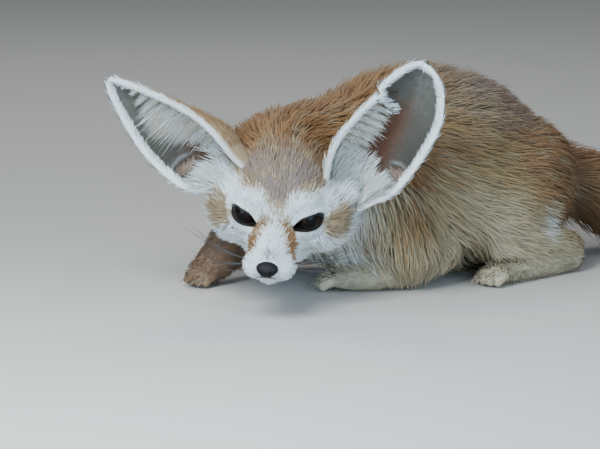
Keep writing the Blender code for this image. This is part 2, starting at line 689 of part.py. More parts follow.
def lock(root, out, outer, lie, size, share, sway, spare=0.0):
    """A flat tapered lock that leaves its core and lies along the coat, just under the tips' surface."""
    length, width, thick = size[1] * share * CM, size[2] * CM, size[3] * CM
    _, outward, _, depth = outer.find_nearest(root)
    point = root
    rings = []
    for k, (along, rise, taper) in enumerate(LOCK_SHAPE):
        way = Quaternion(outward, sway) @ (lie - outward * lie.dot(outward)).normalized()
        if k:
            point = point + way * length * (along - LOCK_SHAPE[k - 1][0])
            place, outward, _, _ = outer.find_nearest(point)
            point = place - outward * (depth * (1 - rise) + thick * LOCK_UNDER)
        base = point if k else point - out * LOCK_SINK - way * LOCK_BACK
        rings.append((base, way, outward, taper))
    bm = bmesh.new()
    loops = []
    for centre, way, outward, taper in rings[:-1]:
        across = way.cross(outward).normalized()
        half = width / 2 * taper + spare
        up = outward * (thick * taper * LOCK_RIDGE + spare)
        down = outward * (thick * taper * (1 - LOCK_RIDGE) + spare)
        corners = (centre - across * half - down, centre + across * half - down, centre + up)
        loops.append([bm.verts.new(corner) for corner in corners])
    tip = bm.verts.new(rings[-1][0] + rings[-1][1] * spare)
    for i in range(3):
        j = (i + 1) % 3
        for low, high in zip(loops, loops[1:]):
            bm.faces.new((low[i], low[j], high[j], high[i]))
        bm.faces.new((loops[-1][i], loops[-1][j], tip))
    bm.faces.new(loops[0][::-1])
    bmesh.ops.triangulate(bm, faces=bm.faces)
    return linked("lock", bm)


def spread(obj, apart, draw):
    """Places over an object's surface, evenly scattered and at least that far apart, with the ways out."""
    polygons = obj.data.polygons
    areas = np.cumsum([polygon.area for polygon in polygons])
    found = []
    for _ in range(int(areas[-1] / apart**2 * 12)):
        polygon = polygons[int(np.searchsorted(areas, draw.random() * areas[-1]))]
        a, b, c = (obj.data.vertices[v].co for v in polygon.vertices[:3])
        u, v = sorted((draw.random(), draw.random()))
        point = a * u + b * (v - u) + c * (1 - v)
        if all((point - other).length > apart for other, _ in found):
            found.append((point, polygon.normal.copy()))
    return found


def sown(name, core, outer, lie, locks):
    """Locks all over a node, each shortened until it is clear of the other nodes and their locks."""
    node = bpy.data.objects[name]
    size = LOCKS[name]
    draw = random.Random(LOCK_SEED + len(name))
    others = [tree_of(other) for other in bpy.data.objects if other is not node]
    others += [tree for owner, tree in locks if owner != name]
    made = []
    for root, out in spread(node, size[0] * CM, draw):
        sway = math.radians(draw.uniform(-LOCK_SWAY, LOCK_SWAY))
        _, upright, _, off = core.find_nearest(root)
        meets_neighbour = off > OFF_SKIN or out.dot(upright) < UPRIGHT
        if meets_neighbour or root.z < LOWEST_ROOT or outer.find_nearest(root)[3] < THIN_COAT:
            continue
        for share in (draw.uniform(*LOCK_VARIES), *LOCK_SHORTER):
            room = lock(root, out, outer, lie(root), size, share, sway, spare=LOCK_ROOM)
            tree = tree_of(room)
            lowest = min(vertex.co.z for vertex in room.data.vertices)
            bpy.data.objects.remove(room)
            if lowest > GAP and not any(tree.overlap(other) for other in others):
                locks.append((name, tree))
                piece = lock(root, out, outer, lie(root), size, share, sway)
                bpy.context.scene.collection.objects.unlink(piece)
                made.append(piece)
                break
    return made


def grow_locks(name, core, outer, lie, locks):
    """Fuses a node with its locks, without those that would only touch another along an edge."""
    node = bpy.data.objects[name]
    bare = node.data
    made = sown(name, core, outer, lie, locks)
    for _ in range(LOCK_TRIES):
        held = bpy.data.collections.new("locks")
        bpy.context.scene.collection.children.link(held)
        for piece in made:
            held.objects.link(piece)
        step = node.modifiers.new("locks", "BOOLEAN")
        step.operation = "UNION"
        step.solver = "MANIFOLD"
        step.operand_type = "COLLECTION"
        step.collection = held
        ordered(applied(node))
        bpy.data.collections.remove(held)
        places = touching(node)
        faulty = {min(made, key=lambda piece: tree_of(piece).find_nearest(place)[3]) for place in places}
        if not faulty:
            break
        made = [piece for piece in made if piece not in faulty]
        for piece in faulty:
            bpy.data.objects.remove(piece)
        node.data = bare
    for piece in made:
        bpy.data.objects.remove(piece)


def touching(obj):
    """Where the surface touches itself along an edge."""
    bm = bmesh.new()
    bm.from_mesh(obj.data)
    bmesh.ops.remove_doubles(bm, verts=bm.verts, dist=TOUCH)
    found = [(edge.verts[0].co + edge.verts[1].co) / 2 for edge in bm.edges if not edge.is_manifold]
    bm.free()
    return found


def floor_block():
    """All that lies under the floor."""
    bm = bmesh.new()
    bmesh.ops.create_cube(bm, size=1)
    bmesh.ops.transform(
        bm, matrix=Matrix.Translation((0, 0, -0.25)) @ Matrix.Diagonal((1, 1, 0.5, 1)), verts=bm.verts
    )
    return linked("under_floor", bm)


def main():
    clear_scene()
    tips = {"head": make_head(core=False), "body": make_body(core=False)}
    cores = {"head": make_head(core=True), "body": make_body(core=True)}
    for guide in (*tips.values(), *cores.values()):
        guide.name = "guide"
    head, body = copied(cores["head"]), copied(cores["body"])
    head.name = "head"
    for word in EARS:
        make_ear(word, head, tips["body"])
    combined(body, inflated(tips["head"], HEAD_ROOM), "DIFFERENCE")
    make_eyes(head)
    groove_mouth(head)
    make_nose(head)
    part_body(body)
    core_trees, tip_trees = ({key: tree_of(obj) for key, obj in guides.items()} for guides in (cores, tips))
    for guide in (*tips.values(), *cores.values()):
        bpy.data.objects.remove(guide)
    for name in LOCKS:
        largest_part(bpy.data.objects[name])
        coarser(bpy.data.objects[name], core_trees["head" if name == "head" else "body"])
    locks = []
    for name in LOCKS:
        key = "head" if name == "head" else "body"
        grow_locks(name, core_trees[key], tip_trees[key], cheek_lie if key == "head" else lie_at, locks)
    for node in bpy.data.objects:
        largest_part(node)
        node.data.materials.clear()
        node.data.materials.append(material(node.name, *FINISHES.get(node.name, (SAND, 0.9))))


main()
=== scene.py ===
import math

import bmesh
import bpy
import numpy as np
from mathutils import Matrix, Vector
from mathutils.bvhtree import BVHTree
from mathutils.kdtree import KDTree


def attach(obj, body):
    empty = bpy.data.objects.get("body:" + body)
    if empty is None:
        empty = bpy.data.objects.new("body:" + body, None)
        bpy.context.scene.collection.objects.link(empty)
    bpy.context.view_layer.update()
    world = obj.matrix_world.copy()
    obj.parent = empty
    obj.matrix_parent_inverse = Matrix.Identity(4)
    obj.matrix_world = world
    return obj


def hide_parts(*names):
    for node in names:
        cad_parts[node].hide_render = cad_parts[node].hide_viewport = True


# A fennec fox, life size, lying with its chin low and its face turned to the viewer.
# The trunk lies along X with the head towards -X, its left side faces -Y and the floor is z = 0.
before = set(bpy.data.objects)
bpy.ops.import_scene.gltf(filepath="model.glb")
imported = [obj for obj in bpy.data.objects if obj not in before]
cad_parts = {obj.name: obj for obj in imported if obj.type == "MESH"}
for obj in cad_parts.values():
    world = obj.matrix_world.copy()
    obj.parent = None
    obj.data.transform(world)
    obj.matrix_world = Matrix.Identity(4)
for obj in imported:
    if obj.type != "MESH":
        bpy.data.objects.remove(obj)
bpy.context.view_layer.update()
print("frame loaded")

cm = 0.01
trunkAt = Vector((0.0041, 0.0357, 0.0))
trunkFrame = Matrix.Translation(trunkAt)
headTurn = (
    Matrix.Rotation(math.radians(-45), 4, "Z")
    @ Matrix.Rotation(math.radians(17), 4, "X")
    @ Matrix.Rotation(math.radians(5.4), 4, "Y")
)
# Half way between the eyes: +X to the fox's left, -Y forward, +Z to the crown.
headFrame = Matrix.Translation(Vector((-0.151, -0.056, 0.061)) + trunkAt) @ headTurn

# Rows are x, y, z, half width and half height in cm out to the coat's tips; coat is how deep the skin lies.
bodyForms = {
    "torso": dict(coat=1.1, rows=[
        (-10.0, 0.3, 7.6, 4.2, 3.8), (-7.0, 0.2, 6.9, 5.6, 5.2), (-3.6, 0.1, 6.5, 6.3, 6.6),
        (0.5, 0.0, 6.7, 6.6, 7.0), (4.2, 0.1, 6.1, 6.3, 6.6), (7.3, 0.3, 4.9, 5.4, 5.4),
        (9.3, 0.5, 3.8, 3.9, 4.0)]),
    "neck": dict(coat=0.9, rows=[
        (-12.7, -3.0, 6.8, 4.0, 3.8), (-11.6, -1.5, 7.0, 4.6, 4.1), (-9.6, 0.1, 7.3, 5.1, 4.4),
        (-6.5, 0.6, 7.4, 5.2, 4.6)]),
    "tail": dict(coat=1.1, rows=[
        (9.0, 0.8, 5.2, 1.7, 1.7), (12.4, 0.6, 5.4, 2.2, 2.3), (15.6, -1.2, 3.8, 2.7, 2.7),
        (17.2, -4.8, 2.8, 2.9, 2.9), (16.6, -8.8, 2.6, 2.8, 2.7), (14.0, -12.0, 2.1, 2.3, 2.25),
        (10.9, -13.6, 1.3, 1.4, 1.4), (9.3, -14.1, 0.9, 0.7, 0.7)]),
    "thigh": dict(coat=0.6, both=True, rows=[
        (7.6, 2.9, 6.2, 3.3, 3.9), (5.4, 4.3, 5.0, 3.1, 3.7), (3.4, 5.3, 3.4, 2.1, 2.5)]),
    "shoulder": dict(coat=1.1, both=True, rows=[
        (-7.2, 3.6, 8.2, 2.3, 2.8), (-5.4, 4.5, 5.2, 2.4, 2.9), (-3.8, 5.0, 2.8, 1.8, 2.0)]),
    "shank": dict(coat=0.25, both=True, rows=[
        (3.4, 5.6, 2.8, 1.7, 1.7), (6.0, 5.9, 2.2, 1.5, 1.5), (8.6, 5.9, 1.5, 1.1, 1.3)]),
    "hindFoot": dict(coat=0.15, toes=True, both=True, rows=[
        (8.8, 5.9, 0.9, 1.0, 1.05), (5.0, 6.4, 0.8, 0.9, 0.95), (1.4, 6.7, 0.8, 1.15, 1.0)]),
    "rightForearm": dict(coat=0.25, rows=[
        (-4.0, 5.2, 2.4, 1.7, 1.8), (-7.8, 5.3, 2.2, 1.5, 1.7), (-11.0, 5.0, 2.3, 1.35, 1.6)]),
    "rightPaw": dict(coat=0.15, toes=True, rows=[
        (-11.0, 5.0, 2.0, 1.3, 1.5), (-12.3, 4.8, 1.2, 1.35, 1.2), (-13.4, 4.6, 0.85, 1.15, 0.95)]),
    "leftForearm": dict(coat=0.25, rows=[
        (-1.2, -4.2, 2.4, 1.7, 1.8), (-3.3, -3.9, 1.6, 1.5, 1.5), (-5.1, -3.3, 1.2, 1.25, 1.2)]),
    "leftPaw": dict(coat=0.15, toes=True, rows=[
        (-5.1, -3.3, 1.1, 1.2, 1.15), (-6.5, -2.5, 0.9, 1.15, 1.0), (-7.6, -1.6, 0.8, 1.05, 0.9)]),
}
# Balls have a middle and half sizes, limbs have rows, in the head's frame; a pair stands on both sides.
headForms = {
    "cranium": dict(coat=0.45, at=(0, 2.9, 0.5), size=(3.3, 3.5, 2.6)),
    "face": dict(coat=0.28, at=(0, 1.5, -0.3), size=(3.5, 2.8, 2.3)),
    "brow": dict(coat=0.28, at=(1.2, 0.8, 0.8), size=(1.6, 1.6, 1.1), pair=True),
    "cheek": dict(coat=0.7, at=(2.3, 2.1, -0.8), size=(2.4, 2.5, 2.2), pair=True),
    "ruff": dict(coat=0.95, at=(2.5, 3.3, -1.3), size=(2.3, 2.2, 2.0), pair=True),
    "whiskerPad": dict(coat=0.16, at=(0.72, -2.5, -1.95), size=(1.0, 1.35, 0.85), pair=True),
    "lid": dict(coat=0.1, at=(1.84, 0.3, 0.0), size=(1.0, 1.0, 1.0), pair=True),
    "muzzle": dict(coat=0.16, rows=[
        (0, 0.9, -0.9, 2.4, 1.7), (0, -0.9, -1.25, 1.75, 1.35), (0, -2.2, -1.55, 1.25, 1.0),
        (0, -3.3, -1.75, 0.9, 0.75)]),
    "jaw": dict(coat=0.25, rows=[
        (0, 2.4, -2.7, 2.4, 1.2), (0, -0.4, -2.75, 1.5, 0.9), (0, -2.6, -2.75, 0.75, 0.55)]),
}
# An ear is a cup: root, tip and the way it faces; rows are the share of its length, the half widths towards
# the crown and outwards, and how far it wraps in degrees.
ears = {
    "left": dict(side=1, root=(4.3, 3.4, 0.9), tip=(8.1, 5.2, 8.7), facing=(0.1, -1.0, 0.2), rows=[
        (-0.12, 1.6, 0.9, 118), (0.0, 2.0, 1.5, 116), (0.12, 2.4, 2.1, 108), (0.3, 2.55, 2.4, 92),
        (0.5, 2.25, 2.6, 78), (0.61, 2.0, 2.6, 72), (0.655, 1.85, 2.57, 71), (0.672, 1.4, 2.55, 70),
        (0.69, 1.8, 2.52, 69), (0.74, 1.9, 2.42, 65), (0.86, 1.45, 1.95, 56), (0.95, 0.95, 1.25, 50),
        (1.0, 0.3, 0.35, 45)]),
    "right": dict(side=-1, root=(-3.7, 3.4, 1.2), tip=(-11.4, 5.0, 5.6), facing=(-0.2, -0.9, -0.1), rows=[
        (-0.12, 1.6, 0.9, 118), (0.0, 2.0, 1.5, 116), (0.12, 2.5, 2.1, 108), (0.3, 2.6, 2.3, 92),
        (0.5, 2.25, 2.25, 78), (0.7, 1.7, 1.7, 66), (0.86, 1.05, 1.1, 56), (0.95, 0.65, 0.65, 50),
        (1.0, 0.25, 0.25, 45)]),
}
# The ball of flesh that each ear stands on, in cm: its radius, its coat, and how far below the root and behind
# it the ball lies.
earMound = dict(radius=1.12, coat=0.3, below=0.8, behind=0.25)
# Round each eye the skin is pushed in over an oval, and a slightly smaller one is bare.
eye = dict(at=(1.84, 0.3, 0.0), radius=0.86, slant=22, outward=22, socket=(1.42, 1.05), sunk=0.9, bare=(1.4, 1.03))
nose = dict(at=(0, -3.85, -1.62), size=(0.64, 0.5, 0.5), bare=1.02)
# Paws: the middle of the toes, the way they point and how far apart they are, in cm in the trunk's frame.
paws = {
    "rightPaw": dict(at=(-13.35, 4.6, 0.46), way=(-1, -0.15, 0), apart=0.53),
    "leftPaw": dict(at=(-7.75, -1.45, 0.44), way=(-0.8, 0.6, 0), apart=0.5),
    "leftFoot": dict(at=(1.35, -6.7, 0.46), way=(-1, -0.1, 0), apart=0.56),
    "rightFoot": dict(at=(1.35, 6.7, 0.46), way=(-1, 0.1, 0), apart=0.56),
}
# Toes, in cm: how far the middle ones reach and how much less each outer one does; a ball at the end and one at
# the knuckle, as wide as this share of the gap between toes. Under them the paw is shorter and slimmer.
toeLook = dict(places=(-1.5, -0.5, 0.5, 1.5), reach=0.55, less=0.15, wide=0.53, end=0.38, knuckle=0.46, high=0.36,
               back=0.5, up=0.26, shorter=0.14, slimmer=(0, 0, 0.1, 0.22, 0.26), sides=20)


def curveThrough(rows, steps):
    rows = np.array(rows, float)
    ends = np.vstack([2 * rows[0] - rows[1], rows, 2 * rows[-1] - rows[-2]])
    found = []
    for a, b, c, d in zip(ends, ends[1:], ends[2:], ends[3:]):
        for t in np.arange(steps) / steps:
            square = (2 * a - 5 * b + 4 * c - d) * t**2
            cube = (3 * b - a - 3 * c + d) * t**3
            found.append(0.5 * (2 * b + (c - a) * t + square + cube))
    return np.array([*found, rows[-1]])


def inScene(name, data):
    made = bpy.data.objects.new(name, data)
    bpy.context.scene.collection.objects.link(made)
    return made


def makeObject(name, bm, smooth=False):
    bmesh.ops.recalc_face_normals(bm, faces=bm.faces)
    mesh = bpy.data.meshes.new(name)
    bm.to_mesh(mesh)
    bm.free()
    if smooth:
        mesh.shade_smooth()
    return inScene(name, mesh)


def fromMesh(items, key, wide, kind=np.float32):
    found = np.empty(len(items) * wide, kind)
    items.foreach_get(key, found)
    return found.reshape(-1, wide)


def toMesh(items, key, values, kind=np.float32):
    items.foreach_set(key, values.astype(kind).ravel())


def joinLoops(bm, loops, capped=True):
    for low, high in zip(loops, loops[1:]):
        for i in range(len(low)):
            j = (i + 1) % len(low)
            bm.faces.new((low[i], low[j], high[j], high[i]))
    if capped:
        bm.faces.new(loops[0][::-1])
        bm.faces.new(loops[-1])


def addBall(bm, at, size, place, sides=32):
    made = bmesh.ops.create_uvsphere(bm, u_segments=sides, v_segments=sides // 2, radius=1)
    shape = place @ Matrix.Translation(Vector(at) * cm) @ Matrix.Diagonal((*(Vector(size) * cm), 1))
    bmesh.ops.transform(bm, matrix=shape, verts=made["verts"])


capShares = (0.45, 0.8, 0.97)  # where the rings of a limb's round ends lie


def addLimb(bm, stations, place, sides=24, steps=5):
    rows = curveThrough(stations, steps)
    along = np.gradient(rows[:, :3], axis=0)
    along /= np.linalg.norm(along, axis=1)[:, None]
    rings = list(zip(rows[:, :3], along, rows[:, 3:]))
    for end, sign in ((0, -1), (-1, 1)):
        centre, way, size = rings[end]
        caps = [(centre + sign * way * size.mean() * share, way, size * math.sqrt(1 - share**2))
                for share in capShares]
        rings = caps[::-1] + rings if end == 0 else rings + caps
    loops = []
    for centre, way, (wide, high) in rings:
        way = Vector(way)
        across = way.cross(Vector((0, 0, 1))).normalized()
        up = across.cross(way)
        angles = np.arange(sides) * 2 * math.pi / sides
        points = [Vector(centre) + across * wide * math.cos(a) + up * high * math.sin(a) for a in angles]
        loops.append([bm.verts.new(place @ (point * cm)) for point in points])
    joinLoops(bm, loops)


def grown(made, voxel, smoothing):
    remesh = made.modifiers.new("grown", "REMESH")
    remesh.mode = "VOXEL"
    remesh.voxel_size = voxel
    smooth = made.modifiers.new("smooth", "SMOOTH")
    smooth.factor = 0.5
    smooth.iterations = smoothing
    mesh = bpy.data.meshes.new_from_object(made.evaluated_get(bpy.context.evaluated_depsgraph_get()))
    made.modifiers.clear()
    made.data = mesh
    return made


def mirrored(rows):
    return [(row[0], -row[1], *row[2:]) for row in rows]


def toesOf(paw, further=0.0):
    way = Vector(paw["way"]).normalized()
    across = Vector((-way.y, way.x, 0))
    for k in toeLook["places"]:
        reach = toeLook["reach"] - toeLook["less"] * abs(k) + further
        yield Vector(paw["at"]) + across * paw["apart"] * k + way * reach, way


leastCore = 0.45  # the smallest share of a form that the skin keeps under its coat


def bodyShape(name, inside):
    bm = bmesh.new()
    for form in bodyForms.values():
        inset = form["coat"] if inside else 0
        rows = [(*row[:3], *(max(size - inset, leastCore * size) for size in row[3:])) for row in form["rows"]]
        if inside and form.get("toes"):
            before, last = np.array(rows[-2]), np.array(rows[-1])
            rows[-1] = tuple(last + toeLook["shorter"] * (before - last) - toeLook["slimmer"])
        addLimb(bm, rows, trunkFrame)
        if form.get("both"):
            addLimb(bm, mirrored(rows), trunkFrame)
    if inside:
        look = toeLook
        for paw in paws.values():
            wide = look["wide"] * paw["apart"]
            for toe, way in toesOf(paw):
                knuckle = toe - way * look["back"] + Vector((0, 0, look["up"]))
                for at, long in ((toe, look["end"]), (knuckle, look["knuckle"])):
                    addBall(bm, at, (long, wide, look["high"]), trunkFrame, look["sides"])
    return makeObject(name, bm)


def headShape(name, inside):
    bm = bmesh.new()
    for form in headForms.values():
        inset = form["coat"] if inside else 0
        if "rows" in form:
            addLimb(bm, [(*row[:3], row[3] - inset, row[4] - inset) for row in form["rows"]], headFrame)
            continue
        x, y, z = form["at"]
        for side in (1, -1) if form.get("pair") else (1,):
            addBall(bm, (side * x, y, z), [half - inset for half in form["size"]], headFrame)
    radius = earMound["radius"] - (earMound["coat"] if inside else 0)
    for ear in ears.values():
        root, tip = Vector(ear["root"]), Vector(ear["tip"])
        below = root - (tip - root).normalized() * earMound["below"]
        addBall(bm, below + Vector((0, earMound["behind"], 0)), (radius,) * 3, headFrame)
    return makeObject(name, bm)


def treeOf(made):
    return BVHTree.FromPolygons([v.co for v in made.data.vertices], [p.vertices for p in made.data.polygons])


def discard(made):
    bpy.data.objects.remove(made)


# The coat's outer shape guides the tufts; the skin is one mesh from nose to tail.
skinSettings = dict(voxel=0.0013, smoothing=6, floorGap=0.0004)
outerSettings = dict(voxel=0.0017, smoothing=14)


def together(name, parts):
    bm = bmesh.new()
    for part in parts:
        bm.from_mesh(part.data)
        discard(part)
    return makeObject(name, bm)


guide = together("guide", [headShape("guide", False), bodyShape("guide", False)])
guide = grown(guide, outerSettings["voxel"], outerSettings["smoothing"])
outerTree = treeOf(guide)
discard(guide)
headSkin, bodySkin = headShape("headSkin", True), bodyShape("bodySkin", True)
innerTrees = {"head": treeOf(headSkin), "body": treeOf(bodySkin)}
skin = grown(together("skin", [headSkin, bodySkin]), skinSettings["voxel"], skinSettings["smoothing"])
print("skin grown:", len(skin.data.polygons), "faces")


def pointsOf(mesh):
    return fromMesh(mesh.vertices, "co", 3).astype(float)


def inFrame(points, place):
    turn = np.array(place.inverted())
    return points @ turn[:3, :3].T + turn[:3, 3]


def outOf(points, place):
    turn = np.array(place)
    return points @ turn[:3, :3].T + turn[:3, 3]


def smoothStep(low, high, value):
    t = np.clip((value - low) / (high - low), 0, 1)
    return t * t * (3 - 2 * t)


def eyeFrame(side):
    at = Matrix.Translation(Vector((side * eye["at"][0], *eye["at"][1:])) * cm)
    outward = Matrix.Rotation(math.radians(side * eye["outward"]), 4, "Z")
    slant = Matrix.Rotation(math.radians(-side * eye["slant"]), 4, "Y")
    return headFrame @ at @ outward @ slant


plainSkinTree = treeOf(skin)  # before it is pushed in; the lids take its shape
# The skin is pushed in behind each eyeball and lies flat on the floor.
points = pointsOf(skin.data)
for side in (1, -1):
    local = inFrame(points, eyeFrame(side)) / cm
    off = np.hypot(local[:, 0] / eye["socket"][0], local[:, 2] / eye["socket"][1])
    local[:, 1] += eye["sunk"] * smoothStep(1.0, 0.8, off) * (local[:, 1] < 0.2)
    points = outOf(local * cm, eyeFrame(side))
points[:, 2] = np.maximum(points[:, 2], skinSettings["floorGap"])
toMesh(skin.data.vertices, "co", points)
skin.data.update()
skin.data.shade_smooth()


def blob(p, at, size):
    return np.exp(-1.5 * (((p - np.array(at)) / np.array(size)) ** 2).sum(axis=1))


def streak(p, start, end, wide):
    start, end = np.array(start), np.array(end)
    way = end - start
    share = np.clip((p - start) @ way / (way @ way), 0, 1)
    gap = np.linalg.norm(p - start - share[:, None] * way, axis=1)
    return np.exp(-((gap / wide) ** 2))


# Markings: how pale, how rusty and how grey the coat is at each place. The rest is sand.
def headMarks(points):
    x, y, z = (inFrame(points, headFrame) / cm).T
    wide = abs(x)
    mirror = np.column_stack([wide, y, z])
    fan = smoothStep(0.4, -0.4, wide - (0.32 + 0.66 * np.maximum(y + 1.1, 0))) * smoothStep(-1.9, 0.0, y)
    fan *= smoothStep(-0.6, 0.3, z)
    crown = smoothStep(1.7, 3.6, y) * smoothStep(0.4, 1.5, z)
    crown *= np.maximum(smoothStep(3.5, 2.6, wide), smoothStep(3.6, 4.6, y))
    top = np.maximum(fan, smoothStep(-0.5, 0.3, y) * smoothStep(1.0, 1.5, z) * smoothStep(3.4, 2.6, wide))
    fan *= 1 - 0.75 * crown
    earFoot = blob(mirror, (3.4, 2.2, 1.8), (0.7, 0.8, 0.7))
    brow = np.maximum(streak(mirror, (1.1, -0.5, 0.72), (1.9, 0.1, 1.04), 0.34),
                      streak(mirror, (1.9, 0.1, 1.04), (3.0, 1.4, 0.66), 0.36))
    outsideEye = np.clip(1.25 * blob(mirror, (3.3, 0.95, -0.45), (1.05, 1.5, 1.0)), 0, 1)
    aboveEye = np.clip(1.3 * blob(mirror, (2.2, 1.4, 1.8), (1.1, 0.9, 0.5)), 0, 1)
    tear = np.maximum(streak(mirror, (0.6, -0.7, -0.2), (1.36, -2.2, -1.3), 0.47),
                      0.6 * streak(mirror, (1.5, -2.0, -1.2), (2.0, -1.8, -1.6), 0.35))
    tear = np.clip(1.7 * tear, 0, 1)
    noseTop = blob(mirror, (0.0, -3.1, -1.05), (0.72, 0.85, 0.6))
    besideEar = blob(mirror, (4.1, 2.4, 0.9), (1.0, 1.1, 1.2))
    dark = np.maximum.reduce([0.84 * top * (1 - earFoot), crown * (1 - earFoot), 0.95 * outsideEye,
                              0.82 * aboveEye, tear, 0.3 * noseTop, 0.5 * besideEar])
    pale = 1 - dark * (1 - 0.9 * brow * (1 - tear))
    rust = np.maximum.reduce([0.62 * crown, tear, 0.05 * fan, 0.12 * outsideEye, 0.25 * aboveEye])
    grey = np.maximum.reduce([0.85 * fan, 1.85 * noseTop, 0.32 * outsideEye, 0.4 * besideEar])
    notch = blob(mirror, (2.55, 2.9, 2.4), (0.3, 0.45, 0.35))
    grey = np.maximum(grey * (1 - brow), 1.8 * notch)
    return np.column_stack([2 * smoothStep(0.08, 0.78, pale) * (1 - notch), rust, grey])


def bodyMarks(points):
    x, y, z = (inFrame(points, trunkFrame) / cm).T
    mirror = np.column_stack([x, abs(y), z])
    away = np.linalg.norm(points - np.array(headFrame.translation), axis=1) / cm
    edge = np.where(x < -0.8, 7.8, 7.8 - 0.55 * (x + 0.8))  # the flank is cream under this height
    cream = smoothStep(1.8, -1.6, z - edge) * smoothStep(10.5, 7.6, x)
    lowest = smoothStep(5.5, 2.0, z)
    shoulder = blob(mirror, (-5.0, 5.7, 6.6), (1.9, 3.5, 2.5))
    collar = smoothStep(9.3, 7.3, away - 1.7 * smoothStep(5.5, 3.0, z)) * smoothStep(9.6, 7.4, z)
    collar *= smoothStep(1.6, 2.8, z)
    patch = np.clip(1.3 * blob(mirror, (5.5, 6.9, 3.7), (1.4, 2.2, 2.0)), 0, 1)
    nape = smoothStep(2.0, -5.0, x) * smoothStep(6.0, 9.0, z)
    haunch = smoothStep(-0.5, 1.2, z - edge) * smoothStep(1.0, 5.5, x)
    tail = np.clip(smoothStep(9.2, 12.5, x) + smoothStep(-9.5, -11.5, y), 0, 1)
    limb = smoothStep(4.4, 3.4, z) * smoothStep(-5.5, -7.5, x) * smoothStep(3.0, 3.8, y)
    foot = smoothStep(2.2, 1.3, z) * (1 - tail)
    tip = smoothStep(13.8, 10.6, x) * smoothStep(-10.5, -12.2, y)
    pale = (0.68 + 0.16 * lowest) * cream * (1 - 0.3 * foot) * (1 - 0.75 * shoulder)
    pale = np.maximum.reduce([pale, 1.45 * collar, 1.4 * patch, 1.05 * foot]) * (1 - limb) * (1 - tail)
    rust = 0.85 * nape + 0.85 * haunch + 0.95 * tail + 0.85 * limb + 0.8 * shoulder
    rust *= 1 - 0.7 * np.clip(pale, 0, 1)
    back = smoothStep(8.5, 11.5, z) * smoothStep(-3.0, 2.5, x)
    grey = 0.6 * back + 0.08 * haunch + 0.3 * limb + 1.5 * tip
    return np.column_stack([pale, np.clip(rust, 0, 1), grey])


def marksAt(points, isHead):
    return np.where(isHead[:, None], headMarks(points), bodyMarks(points))


def gapTo(tree, points):
    return np.array([tree.find_nearest(Vector(point))[3] for point in points])


def onHead(points):
    return gapTo(innerTrees["head"], points) < gapTo(innerTrees["body"], points)


bpy.context.view_layer.objects.active = skin
skin.select_set(True)
skin.data.uv_layers.new(name="OFBake")
bpy.ops.object.mode_set(mode="EDIT")
bpy.ops.mesh.select_all(action="SELECT")
bpy.ops.uv.smart_project(angle_limit=1.15, island_margin=0.002, scale_to_bounds=True)
bpy.ops.object.mode_set(mode="OBJECT")
print("skin unwrapped")


def giveColour(mesh, name, values):
    held = mesh.attributes.new(name, "FLOAT_COLOR", "POINT")
    toMesh(held.data, "color", np.column_stack([values, np.ones(len(values))]))


skinHead = onHead(pointsOf(skin.data))
giveColour(skin.data, "marks", marksAt(pointsOf(skin.data), skinHead))


def trianglesOf(made):
    mesh = made.data
    mesh.calc_loop_triangles()
    corners = fromMesh(mesh.loop_triangles, "vertices", 3, np.int32)
    loops = fromMesh(mesh.loop_triangles, "loops", 3, np.int32)
    places = pointsOf(mesh)[corners]
    area = np.linalg.norm(np.cross(places[:, 1] - places[:, 0], places[:, 2] - places[:, 0]), axis=1) / 2
    return dict(corners=corners, places=places, area=area, middle=places.mean(axis=1),
                uv=fromMesh(mesh.uv_layers["OFBake"].data, "uv", 2)[loops],
                normals=fromMesh(mesh.vertices, "normal", 3)[corners].astype(float))


skinFaces = trianglesOf(skin)
skinFaces["head"] = skinHead[skinFaces["corners"][:, 0]]


def unit(vectors):
    return vectors / np.maximum(np.linalg.norm(vectors, axis=-1, keepdims=True), 1e-9)


def sownOn(faces, weight, count, draw):
    chance = faces["area"] * weight
    pick = draw.choice(len(chance), count, p=chance / chance.sum())
    a, b = np.sort(draw.random((2, count)), axis=0)
    return pick, np.column_stack([a, b - a, 1 - b])


def between(share, corners):
    return np.einsum("nk,nkj->nj", share, corners)


def scattered(faces, weight, count, draw):
    pick, share = sownOn(faces, weight, count, draw)
    root, up, uv = (between(share, faces[key][pick]) for key in ("places", "normals", "uv"))
    return root, unit(up), uv


# What each form's fur is like: its length in cm and, where it doesn't run along the form, its lie.
furOn = {
    "torso": dict(length=2.7), "neck": dict(length=2.1), "tail": dict(length=2.7),
    "thigh": dict(length=1.9, lie=(1, 0, -0.45)), "shoulder": dict(length=2.4, lie=(0.35, 0, -1)),
    "shank": dict(length=0.9), "hindFoot": dict(length=0.34), "rightForearm": dict(length=0.9),
    "rightPaw": dict(length=0.26), "leftForearm": dict(length=0.9), "leftPaw": dict(length=0.26),
}


furMix = 9  # how sharply one form's fur gives way to the next one's


